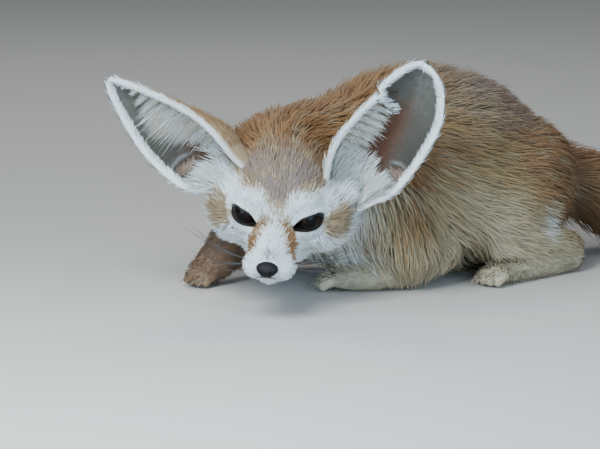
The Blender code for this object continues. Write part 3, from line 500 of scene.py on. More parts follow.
def bodyFur(points):
    local = inFrame(points, trunkFrame) / cm
    away, ways, names = [], [], []
    for name, form in bodyForms.items():
        for rows in [form["rows"]] + ([mirrored(form["rows"])] if form.get("both") else []):
            line = curveThrough(rows, 4)
            middles, sizes = line[:, :3], line[:, 3:].mean(axis=1)
            tangents = unit(np.gradient(middles, axis=0))
            gaps = np.linalg.norm(local[:, None] - middles, axis=2) / sizes
            k = gaps.argmin(axis=1)
            away.append(gaps[np.arange(len(k)), k])
            lie = furOn[name].get("lie")
            ways.append(tangents[k] if lie is None else np.tile(unit(np.array(lie, float)), (len(k), 1)))
            names.append(name)
    away = np.array(away)
    weight = np.exp(-furMix * (away - away.min(axis=0)))
    weight /= weight.sum(axis=0)
    length = (weight * np.array([furOn[name]["length"] for name in names])[:, None]).sum(axis=0)
    way = np.einsum("fn,fnj->nj", weight, np.array(ways))
    x, _, z = local.T
    length *= 1 - 0.36 * smoothStep(6.0, 9.5, z)
    trunk = sum(weight[k] for k, name in enumerate(names) if name in ("torso", "neck", "shoulder"))
    droop = (0.35 + 0.75 * smoothStep(1.0, -6.5, x)) * smoothStep(0.8, 3.0, z)
    way[:, 2] -= trunk * droop
    return unit(way), length, weight, names


def headFur(points):
    p = inFrame(points, headFrame) / cm
    x, y, z = p.T
    wide = abs(x)
    way = unit(p - np.array([0, -4.3, -1.3]))
    low = smoothStep(0.2, -1.4, z) * smoothStep(-0.5, 2.0, y)
    way[:, 2] -= 0.5 * low
    length = 0.32 + 0.35 * smoothStep(-1.5, 1.5, y) + 0.5 * smoothStep(2.5, 5.0, y)
    ruff = smoothStep(1.6, 3.2, wide) * smoothStep(0.8, 2.6, y) * smoothStep(1.6, -0.4, z)
    length += 1.15 * ruff + 0.25 * low
    for ear in ears.values():
        root, tip = np.array(ear["root"]), np.array(ear["tip"])
        near = smoothStep(2.6, 1.3, np.linalg.norm(p - root, axis=1)) * smoothStep(4.2, 3.0, y)
        way += unit(tip - root) * (1.5 * near)[:, None]
        length += 0.75 * near
    for side in (1, -1):
        away = p - np.array([side * eye["at"][0], *eye["at"][1:]])
        near = smoothStep(1.9, 1.0, np.linalg.norm(away, axis=1))
        way += unit(away) * (1.1 * near)[:, None]
        length *= 1 - 0.6 * near
    return unit(way) @ np.array(headTurn.to_3x3()).T, length


def bareOnHead(points):
    p = inFrame(points, headFrame) / cm
    bare = ((p - np.array(nose["at"])) ** 2 / (np.array(nose["size"]) * nose["bare"]) ** 2).sum(axis=1) < 1
    for side in (1, -1):
        local = inFrame(points, eyeFrame(side)) / cm
        bare |= (np.hypot(local[:, 0] / eye["bare"][0], local[:, 2] / eye["bare"][1]) < 1) & (local[:, 1] < 0.4)
    return bare


# A tuft's path: how far along it each point lies, and its share of the way out to the coat's tips.
pathShares = np.array([0.0, 0.33, 0.68, 1.0])
pathRise = np.array([0.0, 0.66, 0.97, 0.98])


# A path runs along the coat's outer shape and rises from the skin towards the tips.
def layPath(root, up, way, length, tree):
    _, out, _, depth = tree.find_nearest(root)
    points, ups = [root], [up]
    point = root
    for k in (1, 2, 3):
        along = (way - out * way.dot(out)).normalized()
        point = point + along * length * (pathShares[k] - pathShares[k - 1])
        place, out, _, _ = tree.find_nearest(point)
        point = place - out * depth * (1 - pathRise[k])
        points.append(point)
        ups.append(out)
    return points, ups


def guidesOver(faces, weight, spacing, draw, isHead):
    count = int(faces["area"][weight > 0].sum() / spacing**2 * 4)
    root, up, _ = scattered(faces, weight, count, draw)
    _, first = np.unique(np.floor(root / spacing).astype(int), axis=0, return_index=True)
    first.sort()
    root, up = root[first], up[first]
    way, length = headFur(root) if isHead else bodyFur(root)[:2]
    laid = [layPath(Vector(r), Vector(u), Vector(w), l * cm, outerTree)
            for r, u, w, l in zip(root, up, way, length)]
    return root, np.array([l[0] for l in laid]), np.array([l[1] for l in laid]), length * cm


leaderBlend = 0.0008  # a tuft much nearer than this to a leader follows it almost alone, in metres


def threeNearest(places, points):
    tree = KDTree(len(places))
    for k, place in enumerate(places):
        tree.insert(place, k)
    tree.balance()
    found = [tree.find_n(point, 3) for point in points]
    index = np.array([[f[1] for f in near] for near in found])
    gap = np.array([[f[2] for f in near] for near in found])
    weight = 1 / (gap + leaderBlend) ** 2
    return index, weight / weight.sum(axis=1, keepdims=True)


bakePatch = 0.003  # how wide a tuft is on the skin's unwrap
tuftTaper = {2: (0.9, 0.8), 3: (0.75, 1.0, 0.72)}  # how wide a tuft's rings are, by how many it has


def tuftMesh(name, path, ups, width, thick, uvRoot, marks, run, softness=0.6):
    # Each tuft is a three-sided tapered strand; path is one row of points for each.
    count, rings = path.shape[0], path.shape[1] - 1
    along = unit(np.gradient(path, axis=1))
    across = unit(np.cross(along, ups))
    out = unit(np.cross(across, along))
    taper = np.array(tuftTaper[rings])
    half = (width[:, None] * taper / 2)[:, :, None]
    deep = (thick[:, None] * taper / 2)[:, :, None]
    middle, side, top = path[:, :rings], across[:, :rings], out[:, :rings]
    corners = np.stack([middle - side * half - top * deep, middle + side * half - top * deep,
                        middle + top * deep], axis=2)
    points = np.concatenate([corners.reshape(count, rings * 3, 3), path[:, -1:]], axis=1)
    lean = np.stack([-side * 0.8 + top * 0.2, side * 0.8 + top * 0.2, top], axis=2)
    lean = np.concatenate([lean.reshape(count, rings * 3, 3), out[:, -1:]], axis=1)
    flat = np.concatenate([np.repeat(ups[:, :rings], 3, axis=1), ups[:, -1:]], axis=1)
    normals = unit(lean * (1 - softness) + flat * softness)
    one = []
    for k in range(rings - 1):
        for i in range(3):
            j = (i + 1) % 3
            a, b, c, d = 3 * k + i, 3 * k + j, 3 * k + 3 + j, 3 * k + 3 + i
            one += [(a, c, b), (a, d, c)]
    last = 3 * (rings - 1)
    one += [(last + 1, last, last + 3), (last + 2, last + 1, last + 3), (last, last + 2, last + 3), (0, 1, 2)]
    size = rings * 3 + 1
    triangles = (np.array(one)[None] + np.arange(count)[:, None, None] * size).reshape(-1, 3)
    spots = np.array([(x, y) for k in range(rings) for x, y in ((0, k / rings), (1, k / rings),
                     (0.5, k / rings + 0.12))] + [(0.5, 1.0)])
    uv = np.clip(uvRoot[:, None] + (spots - 0.5) * bakePatch, 0, 1)
    runs = np.empty((count, size, 3))
    runs[:, :, 0] = [k / rings for k in range(rings) for _ in range(3)] + [1.0]
    runs[:, :, 1:] = run[:, None]
    mesh = bpy.data.meshes.new(name)
    mesh.vertices.add(count * size)
    toMesh(mesh.vertices, "co", points)
    mesh.loops.add(len(triangles) * 3)
    toMesh(mesh.loops, "vertex_index", triangles, np.int32)
    mesh.polygons.add(len(triangles))
    toMesh(mesh.polygons, "loop_start", np.arange(len(triangles)) * 3, np.int32)
    toMesh(mesh.polygons, "use_smooth", np.ones(len(triangles)), bool)
    mesh.update(calc_edges=True)
    toMesh(mesh.uv_layers.new(name="OFBake").data, "uv", uv.reshape(-1, 2)[triangles.ravel()])
    giveColour(mesh, "marks", np.repeat(marks, size, axis=0))
    giveColour(mesh, "run", runs.reshape(-1, 3))
    mesh.normals_split_custom_set_from_vertices(normals.reshape(-1, 3).astype(np.float32))
    return inScene(name, mesh)


# Coats: how many tufts, how far apart the locks' leaders root, each tuft's width and thickness, how strongly
# tufts draw together into locks, how much they stray, and how far pale flecks and blurred edges go.
coats = {
    "coatFace": dict(head=True, count=30000, spacing=0.0035, width=0.00048, thick=0.00026, pull=0.28,
                     stray=0.1, flecks=0.6, blend=0.0014, seed=11, short=True),
    "coatBody": dict(head=False, count=46500, spacing=0.0068, width=0.00064, thick=0.00036, pull=0.36,
                     stray=0.1, flecks=0.5, blend=0.003, seed=12, short=False),
    "coatLegs": dict(head=False, count=14000, spacing=0.004, width=0.0006, thick=0.0003, pull=0.25,
                     stray=0.1, flecks=0.2, blend=0.0015, seed=13, short=True),
}
# In metres: how far under the coat's tips skin may lie and still grow tufts, how deep they root, and how high
# over the floor they stay and over how thick a layer; then how pale flecks go and the most triangles in a piece.
coatSettings = dict(buried=0.0165, sink=0.0006, overFloor=0.0005, layers=0.0006, palest=1.05, most=190000)
longForms = ("torso", "neck", "tail", "thigh", "shoulder")
unburied = gapTo(outerTree, skinFaces["middle"]) < coatSettings["buried"]


def coatWeight(name, isHead):
    middle = skinFaces["middle"]
    if isHead:
        forward = (inFrame(middle, headFrame) / cm)[:, 1]
        weight = skinFaces["head"] * ~bareOnHead(middle) * (0.8 + 1.2 * smoothStep(2.5, 0.0, forward))
    else:
        _, _, share, names = bodyFur(middle)
        long = sum(share[k] for k, form in enumerate(names) if form in longForms)
        own = long > 0.5 if name == "coatBody" else long <= 0.5
        weight = ~skinFaces["head"] * own * np.where(skinFaces["normals"][:, 0, 2] < -0.75, 0.25, 1.0)
    return weight * unburied


def growCoat(name, coat):
    look = coatSettings
    draw = np.random.default_rng(coat["seed"])
    weight = coatWeight(name, coat["head"])
    leaders = guidesOver(skinFaces, weight, coat["spacing"], draw, coat["head"])
    guideRoot, guidePath, guideUps, guideLength = leaders
    root, up, uv = scattered(skinFaces, weight, coat["count"], draw)
    count = len(root)
    index, blend = threeNearest(guideRoot, root)
    shift = np.einsum("nk,nkpj->npj", blend, guidePath[index] - guidePath[index][:, :, :1])
    ups = unit(np.einsum("nk,nkpj->npj", blend, guideUps[index]))
    length = np.einsum("nk,nk->n", blend, guideLength[index])
    ratio = draw.uniform(0.62, 1.08, count)
    leader = guideRoot[index[:, 0]] - root
    path = root[:, None] + shift * ratio[:, None, None]
    path += leader[:, None] * (coat["pull"] * pathShares**1.3)[None, :, None]
    path += draw.normal(0, coat["stray"], (count, 1, 3)) * length[:, None, None] * (pathShares**1.2)[:, None]
    path[:, 0] -= up * look["sink"]
    lowest = look["overFloor"] + look["layers"] * draw.random((count, 1))
    path[:, :, 2] = np.maximum(path[:, :, 2], lowest)
    lockTone = draw.random(len(guideRoot))[index[:, 0]]
    run = np.column_stack([draw.random(count), lockTone])
    marks = marksAt(root + draw.normal(0, coat["blend"], root.shape), np.full(count, coat["head"]))
    flecked = np.minimum(marks[:, 0] + coat["flecks"] * smoothStep(0.6, 1.0, lockTone), look["palest"])
    marks[:, 0] = np.maximum(marks[:, 0], flecked * (marks[:, 2] < 1))
    if coat["short"]:
        path = np.stack([path[:, 0], (path[:, 1] + path[:, 2]) / 2, path[:, 3]], axis=1)
        ups = np.stack([ups[:, 0], unit(ups[:, 1] + ups[:, 2]), ups[:, 3]], axis=1)
    width = coat["width"] * draw.uniform(0.7, 1.25, count)
    each = 10 if coat["short"] else 16  # triangles in a tuft
    order = np.argsort(root[:, 0], kind="stable")
    print(name, len(guideRoot), "locks,", count, "tufts")
    return [tuftMesh(f"{name}{k + 1}", path[own], ups[own], width[own], np.full(len(own), coat["thick"]), uv[own],
                     marks[own], run[own])
            for k, own in enumerate(np.array_split(order, math.ceil(count * each / look["most"])))]


coatPieces = [piece for name, coat in coats.items() for piece in growCoat(name, coat)]


def earSheet(ear, across, along):
    root, tip = Vector(ear["root"]), Vector(ear["tip"])
    length = (tip - root).length
    up = (tip - root) / length
    facing = Vector(ear["facing"])
    facing = (facing - up * facing.dot(up)).normalized()
    lateral = up.cross(facing) * ear["side"]
    lateral = lateral if lateral.x * ear["side"] > 0 else -lateral
    profile = curveThrough(ear["rows"], 6)
    start = profile[0, 0]
    u = np.sin(np.linspace(-math.pi / 2, math.pi / 2, across))
    v = start + (1 - start) * np.sin(np.linspace(0, math.pi / 2, along))
    medial, outer, wrap = (np.interp(v, profile[:, 0], profile[:, k])[:, None] for k in (1, 2, 3))
    wrap = np.radians(wrap)
    tight = np.sin(np.minimum(wrap, math.pi / 2))
    angle = u * wrap
    wide = np.where(u > 0, outer, medial) / tight
    hollow = (medial + outer) / 2 / tight * (0.5 - np.cos(angle) + 0.5 * np.cos(wrap))
    sheet = np.array(root) + np.array(up) * length * v[:, None, None]
    sheet = sheet + np.array(lateral) * (wide * np.sin(angle))[:, :, None] + np.array(facing) * hollow[:, :, None]
    return sheet, u[None] + 0 * v[:, None], v[:, None] + 0 * u[None], np.array(facing), length


# How an ear is finished, in cm: its wall, the rolled rim, the groove up its middle, the pocket in its outer
# edge and, on the fox's left ear, the fold that runs in from the nick.
earLook = dict(across=72, along=96, wall=0.19, rounded=0.13, rim=0.13, groove=0.11, valley=0.06, pocket=0.32,
               fold=0.24)
# Rows are a height up the ear, where the groove's middle lies across it, and how wide the groove is.
grooveLine = ((0.1, 0.02, 0.3), (0.2, 0.1, 0.24), (0.43, 0.07, 0.15), (0.73, 0.12, 0.1), (0.85, 0.15, 0.08))


def earShapes(u, v, edge, length, nicked):
    at, middle, wide = np.array(grooveLine).T
    groove = np.exp(-(((u - np.interp(v, at, middle)) / np.interp(v, at, wide)) ** 2))
    groove *= smoothStep(0.04, 0.16, v) * smoothStep(0.86, 0.68, v)
    valley = np.exp(-(((u + 0.74) / 0.1) ** 2)) * smoothStep(0.08, 0.2, v) * smoothStep(0.66, 0.55, v)
    off = np.sqrt(((u - 0.62) / 0.22) ** 2 + ((v - 0.225 - 0.05 * (u - 0.62)) / 0.045) ** 2)
    pocket = np.exp(-(off**3))
    lip = np.exp(-(((off - 1.5) / 0.3) ** 2)) * smoothStep(0.3, 0.5, u)
    rim = np.exp(-(((edge - 0.17) / 0.14) ** 2))
    gap = (v - (0.655 - 0.062 * (u + 1))) * length
    inward = smoothStep(0.12, -0.3, u) * nicked
    fold = np.exp(-(((gap + 0.03) / 0.11) ** 2)) * inward
    crease = np.exp(-(((gap - 0.17) / 0.1) ** 2)) * inward
    return dict(groove=groove, valley=valley, pocket=pocket, lip=lip, rim=rim, fold=fold, crease=crease)


def buildEar(word, ear):
    look = earLook
    sheet, u, v, facing, length = earSheet(ear, look["across"], look["along"])
    toTip, toSide = unit(np.gradient(sheet, axis=0)), unit(np.gradient(sheet, axis=1))
    front = unit(np.cross(toTip, toSide))
    front *= np.sign((front @ facing).mean())
    run = np.cumsum(np.linalg.norm(np.diff(sheet, axis=1, prepend=sheet[:, :1]), axis=2), axis=1)
    edge = np.minimum.reduce([run, run[:, -1:] - run, (1 - v) * length, (v - v.min()) * length])
    shapes = earShapes(u, v, edge, length, word == "left")
    wavy = 0.05 * np.sin(5 * v + 2.2 * u + ear["side"]) + 0.02 * np.sin(14 * v - 5 * u)
    high = look["rim"] * shapes["rim"] - look["groove"] * shapes["groove"] - look["valley"] * shapes["valley"]
    high += look["fold"] * shapes["fold"] - 0.7 * look["fold"] * shapes["crease"] + 0.1 * shapes["lip"]
    high -= look["pocket"] * shapes["pocket"]
    rounded = np.sqrt(1 - (1 - np.clip(edge / look["rounded"], 0, 1)) ** 2)
    deep = look["wall"] / 2 * (1 + 0.9 * smoothStep(0.25, -0.05, v) + 1.2 * shapes["pocket"])
    sheet = sheet + front * wavy[:, :, None]
    frontSide = sheet + front * (rounded * (look["wall"] / 2 + high))[:, :, None]
    backSide = sheet - front * (rounded * (deep + 0.6 * look["pocket"] * shapes["pocket"]))[:, :, None]
    rows, columns = u.shape
    frontIndex = np.arange(rows * columns).reshape(rows, columns)
    backIndex = frontIndex.copy()
    inner = (rows - 2) * (columns - 2)
    backIndex[1:-1, 1:-1] = rows * columns + np.arange(inner).reshape(rows - 2, columns - 2)
    points = np.vstack([frontSide.reshape(-1, 3), backSide[1:-1, 1:-1].reshape(-1, 3)]) * cm
    bm = bmesh.new()
    verts = [bm.verts.new(point) for point in outOf(points, headFrame)]
    layer = bm.loops.layers.uv.new("OFBake")
    across, along = (u + 1) / 2, (v - v.min()) / (1 - v.min())
    for index, side in ((frontIndex, 0), (backIndex, 1)):
        for i in range(rows - 1):
            for j in range(columns - 1):
                spots = ((i, j), (i, j + 1), (i + 1, j + 1), (i + 1, j))
                if side:
                    spots = spots[::-1]
                face = bm.faces.new([verts[index[spot]] for spot in spots])
                for loop, spot in zip(face.loops, spots):
                    loop[layer].uv = (0.01 + 0.48 * across[spot] + 0.5 * side, 0.01 + 0.98 * along[spot])
    made = makeObject(f"ear_{word}_skin", bm, smooth=True)

    def spread(grid):
        return np.vstack([grid.reshape(rows * columns, -1), grid[1:-1, 1:-1].reshape(inner, -1)])

    side = np.ones((rows, columns))
    side[0] = side[-1] = side[:, 0] = side[:, -1] = 0.5
    sides = np.concatenate([side.ravel(), np.zeros(inner)])[:, None]
    turn = np.array(headTurn.to_3x3()).T
    spots = np.hstack([spread(u), spread(v), sides, spread(edge)])
    ways = (spread(toTip) @ turn, spread(toSide) @ turn)
    return made, spots, ways, {key: spread(value)[:, 0] for key, value in shapes.items()}


def earTone(spots, shapes):
    u, v, side, edge = spots.T
    panel = np.array((0.062, 0.056, 0.046)) + np.outer(smoothStep(0.4, 0.95, v), (0.045, 0.045, 0.04))
    panel = panel + np.outer(smoothStep(0.12, 0.05, v), (0.4, 0.39, 0.36))
    panel = panel + np.outer(smoothStep(-0.5, -0.7, u), (0.06, 0.055, 0.05))
    brown = 0.9 * smoothStep(0.55, 0.0, u) * smoothStep(0.8, 0.4, v) * smoothStep(0.05, 0.15, v)
    panel = panel + brown[:, None] * (np.array((0.125, 0.055, 0.03)) - panel)
    # The groove, the pocket and the crease are darkened to a deep brown: painted shade in these hollows.
    dark = np.clip(shapes["groove"] * smoothStep(0.85, 0.45, v) + shapes["pocket"] + 0.7 * shapes["crease"], 0, 1)
    tone = panel + dark[:, None] * 0.92 * (np.array((0.075, 0.032, 0.018)) - panel)
    rim = np.clip(smoothStep(0.5, 0.25, edge) + 0.8 * shapes["fold"] + 0.2 * shapes["lip"], 0, 1)
    rim *= 1 - 0.75 * smoothStep(0.14, 0.04, v) * (u > 0)
    tone = tone + rim[:, None] * (np.array((0.74, 0.74, 0.71)) - tone)
    tan = np.array((0.4, 0.27, 0.16)) + np.outer(smoothStep(0.4, 0.1, edge), (0.3, 0.38, 0.45))
    return np.where(side[:, None] < 0.3, tan, tone)


# The ears' hair: how many tufts, where they root, their length and width in cm, how they lean towards the
# tip, the outer edge and off the skin, and how pale, rusty and grey they are.
earHair = {
    "back": dict(count=2500, length=(0.4, 0.7), width=0.055, lean=(1, 0, 0.12), marks=(0.3, 0.35, 0.15)),
    "rim": dict(count=3500, length=(0.22, 0.42), width=0.047, lean=(0.8, 0, 0.25), marks=(2.0, 0, 0)),
    "rows": dict(width=0.045, marks=(1.8, 0, 0.1)),
    "panel": dict(count=2200, length=(0.2, 0.35), width=0.02, lean=(1, -0.2, 0.06), marks=(0, 0, 1.72)),
    "base": dict(count=1700, length=(0.8, 1.4), width=0.05, lean=(1, 0.15, 0.3), marks=(1.55, 0, 0.1)),
    "pocket": dict(count=420, length=(0.25, 0.4), width=0.04, lean=(0.5, -1, 0.2), marks=(0.1, 0.7, 0.8)),
}
# The rest of what the rows need: how high they reach and how far apart they lie, as shares of the ear. The
# right ear, seen from its side, has long hair across nearly all of it.
earRows = {
    "left": dict(count=2600, length=(0.65, 1.1), lean=(0.1, 1, 0.16), top=0.59, step=0.056),
    "right": dict(count=4000, length=(1.5, 2.5), lean=(0.5, 1, 0.16), top=0.88, step=0.08),
}


rowBend = 4.2  # twice the radius of the ear's curve under its rows of hair, in cm


def earCoat(word, made, spots, ways, shapes, seed):
    faces = trianglesOf(made)
    draw = np.random.default_rng(seed)
    u, v, side, edge = spots[faces["corners"]].mean(axis=1).T
    pocket, fold, groove = (shapes[key][faces["corners"]].mean(axis=1) for key in ("pocket", "fold", "groove"))
    rows = earRows[word]
    isFront = side > 0.4
    above = v > 0.02
    where = {
        "back": (side < 0.6) * above,
        "rim": isFront * above * np.maximum(smoothStep(0.42, 0.3, edge), 0.9 * fold),
        "rows": isFront * (v > 0.12) * (v < rows["top"]) * (edge > 0.25) * smoothStep(-0.95, -0.8, u)
        * smoothStep(-0.25, -0.5, u) * (0.2 + np.cos(math.pi * v / rows["step"]) ** 2),
        "panel": isFront * above * (pocket < 0.4) * (edge > 0.25) * (1 - 0.9 * groove),
        "base": isFront * (v < np.where(u > 0.2, 0.07, 0.15)) * (u < 0.98) * (u > -0.95) * (1 + 2 * (u > 0.3)),
        "pocket": isFront * (pocket > 0.45),
    }
    kept = []
    for key, hair in earHair.items():
        hair = {**hair, **rows} if key == "rows" else hair
        pick, share = sownOn(faces, where[key].astype(float), hair["count"], draw)
        root, up, uv = (between(share, faces[name][pick]) for name in ("places", "normals", "uv"))
        toTip, toSide, spot = (between(share, held[faces["corners"][pick]]) for held in (*ways, spots))
        tip, outward, off = hair["lean"]
        inward = -np.sign(spot[:, 0])[:, None] * (0.7 if key == "rim" else 0)
        tip = tip * (smoothStep(0.99, 0.86, spot[:, 1])[:, None] * 1.5 - 0.5) if key != "back" else tip
        way = toTip * tip + toSide * (outward + inward) + draw.normal(0, 0.16, root.shape)
        length = draw.uniform(*hair["length"], len(root)) * cm
        length *= 1 - 0.55 * smoothStep(0.9, 1.0, spot[:, 1])
        row = 0
        if key == "rows":  # these stand in rows, each drawn together at its end
            step = rows["step"]
            row = (np.round(spot[:, 1] / step) * step - spot[:, 1]) * 0.9
            length *= 0.75 + 0.35 * np.sin(math.pi * (spot[:, 1] - 0.12) / (rows["top"] - 0.08))
            length *= 1 - 0.78 * smoothStep(0.45, 0.88, spot[:, 1])
        path = []
        for reach, rise in ((0, -0.05), (0.5, 0.85), (1, 1)):
            lift = length * off * rise
            if key == "rows":  # the ear curves up under them
                lift += (length * reach) ** 2 / (rowBend * cm)
            point = root + unit(way) * (length * reach)[:, None] + unit(up) * lift[:, None]
            path.append(point + toTip * np.reshape(row, (-1, 1)) * reach**0.5 * 0.09)
        marks = np.tile(np.array(hair["marks"], float), (len(root), 1))
        if key == "back":
            marks[:, 0] = 0.3 + 1.5 * smoothStep(0.45, 0.15, spot[:, 3])
        if key == "rim":
            marks[:, 0] -= 0.5 * smoothStep(0.14, 0.04, spot[:, 1]) * (spot[:, 0] > 0)
        if key == "rows":
            gap = np.sin(math.pi * spot[:, 1] / rows["step"]) ** 2
            marks -= np.outer(gap, (1.1, 0, -0.6))
        lock = np.sin(spot[:, 1] * 121) * 0.25 + 0.25 if key == "rows" else 0.3 * draw.random(len(root))
        kept.append((np.stack(path, axis=1), np.repeat(unit(up)[:, None], 3, axis=1),
                     hair["width"] * cm * draw.uniform(0.7, 1.2, len(root)), uv, marks,
                     np.column_stack([draw.random(len(root)), lock + 0 * length])))
    path, ups, width, uv, marks, run = (np.concatenate(part) for part in zip(*kept))
    return tuftMesh(f"coatEar{word.title()}", path, ups, width, width * 0.5, uv, marks, run, softness=0.35)


earPieces = {}
for word, ear in ears.items():
    made, spots, ways, shapes = buildEar(word, ear)
    giveColour(made.data, "tone", earTone(spots, shapes))
    earPieces[word] = (made, earCoat(word, made, spots, ways, shapes, 21 + ear["side"]))
print("ears made")


def ringMesh(name, rings, capped=False):
    bm = bmesh.new()
    joinLoops(bm, [[bm.verts.new(point) for point in ring] for ring in rings], capped)
    return makeObject(name, bm, smooth=True)


# The eyes: a dark ball each, its iris barely paler than the pupil, under lids with black rims.
eyeLook = dict(rings=56, sides=72, bulge=0.03, pupil=0.42, iris=0.72)
# Rings of a lid: the share of the almond, the distance from the eye's middle in cm, how much the ring follows
# the face instead, and how black it is.
lidRings = ((0.66, 0.80, 0, 1), (0.78, 0.84, 0, 1), (0.79, 0.885, 0.05, 1), (0.82, 0.92, 0.2, 1),
            (0.88, 0.94, 0.5, 1), (0.95, 0.95, 0.85, 1), (1.0, 0.95, 1, 0.9))
lidLook = dict(sides=144, inner=1.27, outer=1.02, above=0.5, below=0.56, turn=-10, ends=(1.5, 1.12),
               proud=0.03, under=0.05, steps=(0.1, 0.26, 0.46, 0.7, 1.0), unwrap=3.2)
lidHair = dict(count=2600, length=(0.2, 0.36), width=0.035, thick=0.02)


def buildEye(side, word):
    place = eyeFrame(side)
    look = eyeLook
    angles = np.arange(look["sides"]) * 2 * math.pi / look["sides"]
    rings = []
    for p in np.linspace(0.004, math.pi - 0.004, look["rings"]):
        radius = eye["radius"] + look["bulge"] * smoothStep(0.75, 0.35, p)
        rings.append(np.column_stack([np.sin(p) * np.cos(angles), np.full(len(angles), -np.cos(p)),
                                      np.sin(p) * np.sin(angles)]) * radius * cm)
    made = ringMesh(f"eyeball_{word}", [outOf(ring, place) for ring in rings], capped=True)
    local = inFrame(pointsOf(made.data), place)
    angle = np.arctan2(local[:, 2], local[:, 0])
    away = np.arccos(np.clip(-local[:, 1] / np.linalg.norm(local, axis=1), -1, 1))
    giveColour(made.data, "ring", np.column_stack([away, 0.5 + 0.5 * np.cos(angle), 0.5 + 0.5 * np.sin(angle)]))
    return made


def faceDepth(place, x, z):
    # How far forward the face is at a place before an eye, in cm.
    turn = place.to_3x3()
    back = place.inverted()
    found = []
    for a, b in zip(x, z):
        hit, _, _, _ = plainSkinTree.ray_cast(place @ (Vector((a, -2.2, b)) * cm), turn @ Vector((0, 1, 0)))
        found.append((back @ hit).y / cm if hit else 0)
    found = np.array(found)
    for _ in range(4):
        found = (found + (np.roll(found, 1) + np.roll(found, -1)) / 2) / 2
    return found


def buildLid(side, word):
    place = eyeFrame(side)
    look = lidLook
    t = np.arange(look["sides"]) * 2 * math.pi / look["sides"]
    reach, high = np.cos(t), np.sin(t)
    out = np.where(reach > 0, look["outer"], look["inner"]) * reach
    blunt = np.where(reach > 0, 3.4, 1.9)
    tall = np.where(high > 0, look["above"], -look["below"]) * (1 - abs(reach) ** blunt)
    tall = tall * (1 + 0.2 * reach * (high < 0))
    tilt = math.radians(-side * look["turn"])
    x = side * out * math.cos(tilt) + tall * math.sin(tilt)
    z = tall * math.cos(tilt) - side * out * math.sin(tilt)
    rings, dark = [], []
    for share, radius, follow, black in lidRings:
        a, b = x * share, z * share
        y = -np.sqrt(np.maximum(radius**2 - a**2 - b**2, 0.04))
        if follow:
            y = y + follow * (faceDepth(place, a, b) - look["proud"] - y)
        rings.append(np.column_stack([a, y, b]))
        dark.append(black)
    wide, tall = look["ends"]
    a, b = side * wide * np.cos(t), tall * np.sin(t)
    for step in look["steps"]:
        c, d = x + (a - x) * step, z + (b - z) * step
        y = faceDepth(place, c, d) - look["proud"] + (look["proud"] + look["under"]) * step**3
        rings.append(np.column_stack([c, y, d]))
        dark.append(0.25 if step < 0.2 else 0)
    made = ringMesh(f"lid_{word}", [outOf(ring * cm, place) for ring in rings])
    points = pointsOf(made.data)
    marks = headMarks(points)
    shade = np.repeat(dark, look["sides"])
    marks[:, 2] = np.maximum(marks[:, 2], 2 * shade)
    marks[:, 0] *= 1 - np.minimum(shade, 1)
    giveColour(made.data, "marks", marks)
    spots = inFrame(points, place) / cm / look["unwrap"] + 0.5
    loops = fromMesh(made.data.loops, "vertex_index", 1, np.int32)[:, 0]
    toMesh(made.data.uv_layers.new(name="OFBake").data, "uv", np.clip(spots[:, (0, 2)], 0, 1)[loops])
    return made, shade


def lidCoat(side, word, made, shade, seed):
    faces = trianglesOf(made)
    draw = np.random.default_rng(seed)
    blackness = shade[faces["corners"]].mean(axis=1)
    weight = np.where(blackness > 0.15, 1.6, 1.0) * (blackness < 0.75)
    root, up, uv = scattered(faces, weight, lidHair["count"], draw)
    centre = np.array(eyeFrame(side).translation)
    facing = np.array(eyeFrame(side).to_3x3() @ Vector((0, -1, 0)))
    up *= np.sign(up @ facing)[:, None]
    way = root - centre
    way = unit(way - facing * (way @ facing)[:, None]) + 0.3 * headFur(root)[0]
    length = draw.uniform(*lidHair["length"], len(root)) * cm
    path = np.stack([root + way * (length * reach)[:, None] + up * (length * rise)[:, None]
                     for reach, rise in ((0, -0.1), (0.5, 0.12), (1, 0.1))], axis=1)
    run = draw.random((len(root), 2))
    width = lidHair["width"] * cm * draw.uniform(0.7, 1.2, len(root))
    return tuftMesh(f"coatLid{word.title()}", path, np.repeat(up[:, None], 3, axis=1), width,
                    np.full(len(root), lidHair["thick"] * cm), uv, headMarks(root), run)


eyeballs, lids = {}, {}
for side, word in ((1, "left"), (-1, "right")):
    eyeballs[word] = buildEye(side, word)
    lid, shade = buildLid(side, word)
    lids[word] = (lid, lidCoat(side, word, lid, shade, 31 + side))
print("eyes made")


# The nose pad: its nostrils are pits along a comma, and a groove runs down its middle.
noseLook = dict(sides=128, pit=0.2, comma=((0.27, -0.42, -0.06, 0.13), (0.38, -0.36, 0.02, 0.09),
                                           (0.5, -0.24, 0.04, 0.06), (0.56, -0.12, -0.02, 0.05)),
                groove=0.07, leather=0.006)


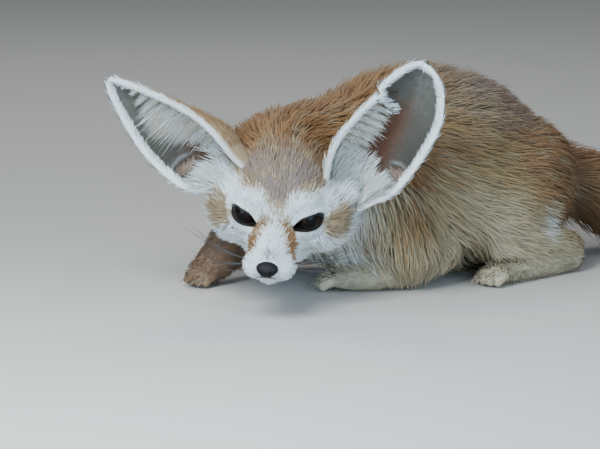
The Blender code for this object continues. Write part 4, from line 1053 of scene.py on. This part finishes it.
def buildNose():
    look = noseLook
    bm = bmesh.new()
    bmesh.ops.create_uvsphere(bm, u_segments=look["sides"], v_segments=look["sides"] // 2, radius=1)
    made = makeObject("nosePad", bm, smooth=True)
    ball = pointsOf(made.data)
    size = np.array(nose["size"])
    p = ball * size
    p[:, 0] *= 1 + 0.1 * smoothStep(-0.2, 0.3, p[:, 2]) - 0.28 * smoothStep(0.0, -0.5, p[:, 2])
    p[:, 1] *= 1 - 0.12 * smoothStep(0.1, 0.5, p[:, 2])
    pit = np.zeros(len(p))
    for x, y, z, wide in look["comma"]:
        gap = np.sqrt((abs(p[:, 0]) - x) ** 2 + 0.5 * (p[:, 1] - y) ** 2 + (p[:, 2] - z) ** 2)
        pit = np.maximum(pit, np.exp(-((gap / wide) ** 2) * 1.6) * min(1, wide / 0.1))
    groove = np.exp(-((p[:, 0] / 0.05) ** 2)) * smoothStep(0.12, -0.1, p[:, 2]) * (p[:, 1] < 0)
    p += unit(-ball) * (look["pit"] * pit + look["groove"] * groove)[:, None]
    grain = np.sin(p[:, 0] * 61 + 3 * np.sin(p[:, 2] * 40)) * np.sin(p[:, 2] * 67 + 3 * np.sin(p[:, 1] * 45))
    p += unit(ball) * (look["leather"] * grain * (1 - pit))[:, None]
    toMesh(made.data.vertices, "co", outOf((p + np.array(nose["at"])) * cm, headFrame))
    giveColour(made.data, "ring", np.column_stack([pit, groove, grain]))
    made.data.update()
    return made


def tubeAlong(bm, path, radii, sides):
    way = unit(np.gradient(path, axis=0))
    side = unit(np.cross(way, np.array((0.13, 0.31, 0.94))))  # a direction that no tube takes
    over = np.cross(side, way)
    loops = []
    for point, a, b, radius in zip(path, side, over, radii):
        angles = np.arange(sides) * 2 * math.pi / sides
        loops.append([bm.verts.new(point + (a * math.cos(t) + b * math.sin(t)) * radius) for t in angles])
    joinLoops(bm, loops)


# The mouth's dark line, in cm in the head's frame, from under the nose back along both sides.
mouthLook = dict(line=[(0.0, -4.2, -2.3), (0.5, -3.9, -2.6), (1.1, -2.9, -2.75), (1.7, -1.7, -2.6),
                       (2.3, -0.4, -2.3)], philtrum=[(0, -4.3, -1.95), (0, -4.3, -2.1), (0, -4.25, -2.3)],
                 radius=0.035, proud=-0.02)


def buildMouth():
    bm = bmesh.new()
    look = mouthLook
    for line in (look["line"], [(-x, y, z) for x, y, z in look["line"]], look["philtrum"]):
        path = []
        for point in outOf(curveThrough(line, 8) * cm, headFrame):
            place, out, _, _ = outerTree.find_nearest(Vector(point))
            path.append(np.array(place + out * (look["proud"] - look["radius"]) * cm))
        taper = np.interp(np.linspace(0, 1, len(path)), (0, 0.7, 1), (1, 0.8, 0.2))
        tubeAlong(bm, np.array(path), look["radius"] * cm * taper, 8)
    return makeObject("mouthLine", bm, smooth=True)


# Whiskers: root, the way they set out and the way they end, and their length in cm, on each side.
whiskers = dict(seed=41, radius=0.036, sets=[
    ((1.2, -2.9, -1.6), (0.9, -0.1, 0.15), (0.88, 0.62, 0.28), 4.4),
    ((1.3, -2.6, -1.7), (0.9, 0.0, 0.05), (0.86, 0.62, 0.2), 4.8),
    ((1.35, -2.4, -1.75), (0.9, 0.05, 0.0), (0.84, 0.64, 0.18), 4.6),
    ((1.4, -2.1, -1.85), (0.9, 0.1, -0.1), (0.86, 0.6, 0.12), 4.2),
    ((1.25, -2.9, -1.85), (0.9, -0.15, -0.1), (0.86, 0.55, 0.1), 4.2),
    ((1.35, -2.55, -2.0), (0.9, 0.0, -0.2), (0.88, 0.5, 0.02), 3.8),
    ((1.3, -2.2, -2.15), (0.85, 0.0, -0.3), (0.92, 0.4, -0.05), 3.4),
    ((1.05, -3.2, -2.0), (0.8, -0.3, -0.25), (0.88, 0.4, 0.0), 3.0),
])


def buildWhiskers():
    bm = bmesh.new()
    draw = np.random.default_rng(whiskers["seed"])
    for side in (1, -1):
        for root, first, last, length in whiskers["sets"]:
            flip = np.array((side, 1, 1))
            first, last = unit(np.array(first) + draw.normal(0, 0.05, 3)), unit(np.array(last))
            last = unit(last + draw.normal(0, 0.06, 3))
            length *= draw.uniform(0.88, 1.05)
            share = np.linspace(0, 1, 15)[:, None]
            way = unit(first * (1 - share) ** 1.4 + last * (1 - (1 - share) ** 1.4))
            path = np.array(root) + np.cumsum(way, axis=0) * length / 15 - first * 0.35
            radii = whiskers["radius"] * cm * (1 - 0.85 * share[:, 0])
            tubeAlong(bm, outOf(path * flip * cm, headFrame), radii, 6)
    return makeObject("whiskers", bm, smooth=True)


clawLook = dict(length=0.62, radius=0.08, high=0.52, drop=0.36, further=0.22)


def buildClaws():
    bm = bmesh.new()
    for paw in paws.values():
        for toe, way in toesOf(paw, clawLook["further"]):
            share = np.linspace(0, 1, 9)[:, None]
            path = np.array(toe) + np.array(way) * share * clawLook["length"]
            path[:, 2] = clawLook["high"] - clawLook["drop"] * share[:, 0] ** 2
            tubeAlong(bm, outOf(path * cm, trunkFrame), clawLook["radius"] * cm * (1.02 - share[:, 0]), 10)
    return makeObject("claws", bm, smooth=True)


nosePad, mouthLine, whiskerSet, claws = buildNose(), buildMouth(), buildWhiskers(), buildClaws()
print("nose, mouth, whiskers and claws made")
print("coat:", sum(len(piece.data.polygons) for piece in coatPieces), "triangles")


# A value on its way through a material's nodes; sums and products of them are maths nodes.
class Wire:
    def __init__(self, paint, socket):
        self.paint, self.socket = paint, socket

    def maths(self, operation, first, second):
        return self.paint.node("ShaderNodeMath", {"operation": operation}, {0: first, 1: second})

    def __add__(self, other):
        return self.maths("ADD", self, other)

    def __sub__(self, other):
        return self.maths("SUBTRACT", self, other)

    def __rsub__(self, other):
        return self.maths("SUBTRACT", other, self)

    def __mul__(self, other):
        return self.maths("MULTIPLY", self, other)

    __radd__, __rmul__ = __add__, __mul__

    def clipped(self, low, high):
        return self.maths("MINIMUM", self.maths("MAXIMUM", self, low), high)


class Paint:
    def __init__(self, name, **fixed):
        self.material = bpy.data.materials.new(name)
        self.material.use_nodes = True
        self.tree = self.material.node_tree
        self.shader = self.tree.nodes["Principled BSDF"]
        for key, value in fixed.items():
            self.shader.inputs[key.replace("_", " ")].default_value = value

    def node(self, kind, settings=None, sockets=None, output=0):
        made = self.tree.nodes.new(kind)
        for key, value in (settings or {}).items():
            setattr(made, key, value)
        for key, value in (sockets or {}).items():
            if isinstance(value, Wire):
                self.tree.links.new(value.socket, made.inputs[key])
            else:
                made.inputs[key].default_value = value
        return Wire(self, made.outputs[output])

    def mixed(self, factor, first, second):
        first, second = ((*c, 1) if isinstance(c, tuple) else c for c in (first, second))
        return self.node("ShaderNodeMix", {"data_type": "RGBA"}, {0: factor, 6: first, 7: second}, output=2)

    def scaled(self, colour, by):
        return self.node("ShaderNodeVectorMath", {"operation": "SCALE"}, {0: colour, "Scale": by})

    def parts(self, name):
        held = self.node("ShaderNodeAttribute", {"attribute_name": name})
        return [self.node("ShaderNodeSeparateColor", sockets={0: held}, output=k) for k in range(3)]

    def noise(self, scale, detail, where):
        return self.node("ShaderNodeTexNoise", sockets={"Scale": scale, "Detail": detail, "Vector": where})

    def place(self):
        return self.node("ShaderNodeTexCoord", output=3)

    def feed(self, **sockets):
        for key, value in sockets.items():
            self.tree.links.new(value.socket, self.shader.inputs[key.replace("_", " ")])

    def bump(self, height, strength, distance):
        made = self.node("ShaderNodeBump", sockets={"Height": height, "Strength": strength, "Distance": distance})
        self.feed(Normal=made)


colours = dict(
    sand=(0.4, 0.26, 0.12), deepSand=(0.25, 0.15, 0.065), rust=(0.34, 0.165, 0.066),
    darkRust=(0.19, 0.088, 0.04), white=(0.88, 0.91, 0.91), cream=(0.66, 0.54, 0.35),
    deepCream=(0.43, 0.325, 0.19), grey=(0.29, 0.225, 0.205), black=(0.03, 0.022, 0.018),
)


def furColour(paint, chance, lock):
    pale, rust, grey = paint.parts("marks")
    base = paint.mixed(lock, colours["sand"], colours["deepSand"])
    warm = paint.mixed(lock, colours["rust"], colours["darkRust"])
    cream = paint.mixed(lock, colours["cream"], colours["deepCream"])
    colour = paint.mixed((rust * (0.75 + 0.5 * chance)).clipped(0, 1), base, warm)
    colour = paint.mixed((grey.clipped(0, 1) * (0.7 + 0.6 * lock)).clipped(0, 1), colour, colours["grey"])
    colour = paint.mixed(((pale * 1.5 - 0.35) + 0.5 * (lock - 0.5)).clipped(0, 1), colour, cream)
    colour = paint.mixed(((pale - 1) * 1.25).clipped(0, 1), colour, colours["white"])
    colour = paint.mixed((grey - 1).clipped(0, 1), colour, colours["black"])
    return colour, grey


def coatPaint():
    paint = Paint("coat", Roughness=0.6, Specular_IOR_Level=0.25)
    along, chance, lock = paint.parts("run")
    colour, grey = furColour(paint, chance, lock)
    # Each tuft's tone differs at random, and it darkens towards its root: partly its darker underfur, partly
    # painted shade deep in the coat.
    shade = (0.74 + 0.34 * chance) * (0.74 + 0.26 * (along * 1.6).clipped(0, 1))
    colour = paint.scaled(colour, shade)
    tips = (along * 3 - 2).clipped(0, 1) * grey * (0.25 + 0.45 * chance)
    paint.feed(Base_Color=paint.mixed(tips.clipped(0, 0.75), colour, colours["black"]))
    return paint.material


def furOnSkin(paint, detail, darkest, spread):
    place = paint.place()
    streak = paint.noise(900.0, detail, place)
    colour, _ = furColour(paint, streak, paint.noise(140.0, 2.0, place))
    return streak, paint.scaled(colour, darkest + spread * streak)


def skinPaint():
    paint = Paint("skinFur", Roughness=0.85)
    streak, colour = furOnSkin(paint, 4.0, 0.72, 0.4)
    paint.feed(Base_Color=colour)
    paint.bump(streak, 0.5, 0.001)
    return paint.material


def lidPaint():
    paint = Paint("lidSkin", Roughness=0.5, Specular_IOR_Level=0.15)
    black = (paint.parts("marks")[2] - 1).clipped(0, 1)
    streak, colour = furOnSkin(paint, 3.0, 0.6, 0.3)
    paint.feed(Base_Color=paint.mixed(black, colour, (0.012, 0.009, 0.008)), Roughness=0.75 - 0.4 * black)
    paint.bump(streak, 0.25, 0.0006)
    return paint.material


def earPaint():
    paint = Paint("earSkin", Roughness=0.8, Specular_IOR_Level=0.15, Subsurface_Weight=0.12,
                  Subsurface_Scale=0.004)
    place = paint.place()
    streak = paint.noise(420.0, 4.0, place)
    blotch = paint.noise(60.0, 3.0, place)
    tone = paint.node("ShaderNodeAttribute", {"attribute_name": "tone"})
    paint.feed(Base_Color=paint.scaled(tone, 0.72 + 0.3 * streak + 0.22 * blotch))
    paint.bump(streak, 0.35, 0.0008)
    return paint.material


def eyePaint():
    look = eyeLook
    paint = Paint("eyeball", Roughness=0.04, IOR=1.4, Specular_IOR_Level=0.22)
    away, turnX, turnY = paint.parts("ring")
    rays = paint.node("ShaderNodeCombineXYZ", sockets={0: turnX * 40, 1: turnY * 40, 2: away * 5})
    fibre = paint.noise(1.0, 4.0, rays)
    iris = paint.mixed(fibre, (0.004, 0.002, 0.0015), (0.016, 0.007, 0.004))
    pupil = ((look["pupil"] + 0.02 - away) * 30).clipped(0, 1)
    white = ((away - look["iris"]) * 14).clipped(0, 1)
    colour = paint.mixed(pupil, iris, (0.001, 0.001, 0.001))
    paint.feed(Base_Color=paint.mixed(white, colour, (0.008, 0.005, 0.004)))
    return paint.material


def nosePaint():
    paint = Paint("noseLeather", Roughness=0.42, IOR=1.4, Specular_IOR_Level=0.2)
    pit, groove, _ = paint.parts("ring")
    place = paint.place()
    cells = paint.node("ShaderNodeTexVoronoi", sockets={"Vector": place, "Scale": 1500.0})
    tone = paint.noise(300.0, 3.0, place)
    colour = paint.mixed(tone, (0.008, 0.006, 0.007), (0.024, 0.021, 0.022))
    # The nostrils and the groove down the middle are darkened further: painted shade in these hollows.
    colour = paint.mixed((pit + groove).clipped(0, 1), colour, (0.004, 0.003, 0.003))
    paint.feed(Base_Color=colour, Roughness=0.35 + 0.25 * tone)
    paint.bump(cells, 0.35, 0.0004)
    return paint.material


def hornPaint(name, dark, pale, roughness, scale):
    paint = Paint(name, Roughness=roughness)
    tone = paint.noise(scale, 3.0, paint.place())
    paint.feed(Base_Color=paint.mixed(tone, dark, pale))
    return paint.material


coatMaterial = coatPaint()
skin.data.materials.append(skinPaint())
for piece in coatPieces:
    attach(piece, "root")
    piece.data.materials.append(coatMaterial)
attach(skin, "root")
flesh = [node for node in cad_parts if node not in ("ear_left", "ear_right", "eye_left", "eye_right", "nose")]
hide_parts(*flesh)
earMaterial, eyeMaterial, lidMaterial = earPaint(), eyePaint(), lidPaint()
for word, (made, hair) in earPieces.items():
    for piece, material in ((made, earMaterial), (hair, coatMaterial)):
        piece.data.materials.append(material)
        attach(piece, "root")
    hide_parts(f"ear_{word}")
for word, ball in eyeballs.items():
    lid, hair = lids[word]
    for piece, material, slot in ((ball, eyeMaterial, f"eye_{word}"), (lid, lidMaterial, "head"),
                                  (hair, coatMaterial, "head")):
        piece.data.materials.append(material)
        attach(piece, "root")
    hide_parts(f"eye_{word}")
lipMaterial = hornPaint("lip", (0.015, 0.01, 0.009), (0.05, 0.035, 0.03), 0.5, 500.0)
whiskerMaterial = hornPaint("whisker", (0.012, 0.01, 0.009), (0.05, 0.04, 0.035), 0.45, 300.0)
clawMaterial = hornPaint("claw", (0.16, 0.12, 0.09), (0.38, 0.3, 0.22), 0.35, 700.0)
for piece, material, slot in ((nosePad, nosePaint(), "nose"), (mouthLine, lipMaterial, "nose"),
                              (whiskerSet, whiskerMaterial, "head"), (claws, clawMaterial, "forepaw_left")):
    piece.data.materials.append(material)
    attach(piece, "root")
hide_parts("nose")

# Floor, lights and camera.
floorMesh = bmesh.new()
bmesh.ops.create_grid(floorMesh, x_segments=4, y_segments=4, size=6)
floor = makeObject("floor", floorMesh)
floorPaint = Paint("floorPaint", Roughness=0.9)
floorTone = floorPaint.noise(3.0, 2.0, floorPaint.place())
floorPaint.feed(Base_Color=floorPaint.mixed(floorTone, (0.66, 0.6, 0.55), (0.7, 0.64, 0.59)))
floor.data.materials.append(floorPaint.material)

lookAt = Vector((-0.14, -0.065, 0.0563)) + trunkAt


def aimed(made, azimuth, elevation, distance):
    a, e = math.radians(azimuth), math.radians(elevation)
    back = Vector((math.sin(a) * math.cos(e), -math.cos(a) * math.cos(e), math.sin(e)))
    made.location = lookAt + back * distance
    made.rotation_euler = (-back).to_track_quat("-Z", "Y").to_euler()


def areaLight(name, azimuth, elevation, distance, size, power, colour):
    light = inScene(name, bpy.data.lights.new(name, "AREA"))
    light.data.shape = "DISK"
    light.data.size, light.data.energy, light.data.color = size, power, colour
    aimed(light, azimuth, elevation, distance)


areaLight("key", -62, 42, 0.8, 0.4, 8.4, (0.88, 0.97, 1.0))
areaLight("fill", 25, 30, 1.6, 1.2, 2.6, (0.8, 0.92, 1.0))
areaLight("back", 150, 50, 1.6, 0.8, 6.5, (0.92, 0.97, 1.0))
areaLight("glintRight", -78, 9, 0.9, 0.62, 6.5, (0.45, 0.72, 1))
areaLight("glintLeft", -12, 9, 0.9, 0.62, 6.5, (0.45, 0.72, 1))
world = bpy.data.worlds.new("studio")
world.use_nodes = True
sky = world.node_tree.nodes["Background"].inputs
sky["Color"].default_value = (0.78, 0.9, 1.0, 1)
sky["Strength"].default_value = 0.22
bpy.context.scene.world = world

# The photograph's view: its angles, and how many metres it shows across at the head.
view = dict(azimuth=-38, elevation=10, distance=2.0, across=0.3636, sensor=36)
camera = inScene("camera", bpy.data.cameras.new("camera"))
camera.data.sensor_width = view["sensor"]
camera.data.lens = view["sensor"] * view["distance"] / view["across"]
aimed(camera, view["azimuth"], view["elevation"], view["distance"])
bpy.context.scene.camera = camera
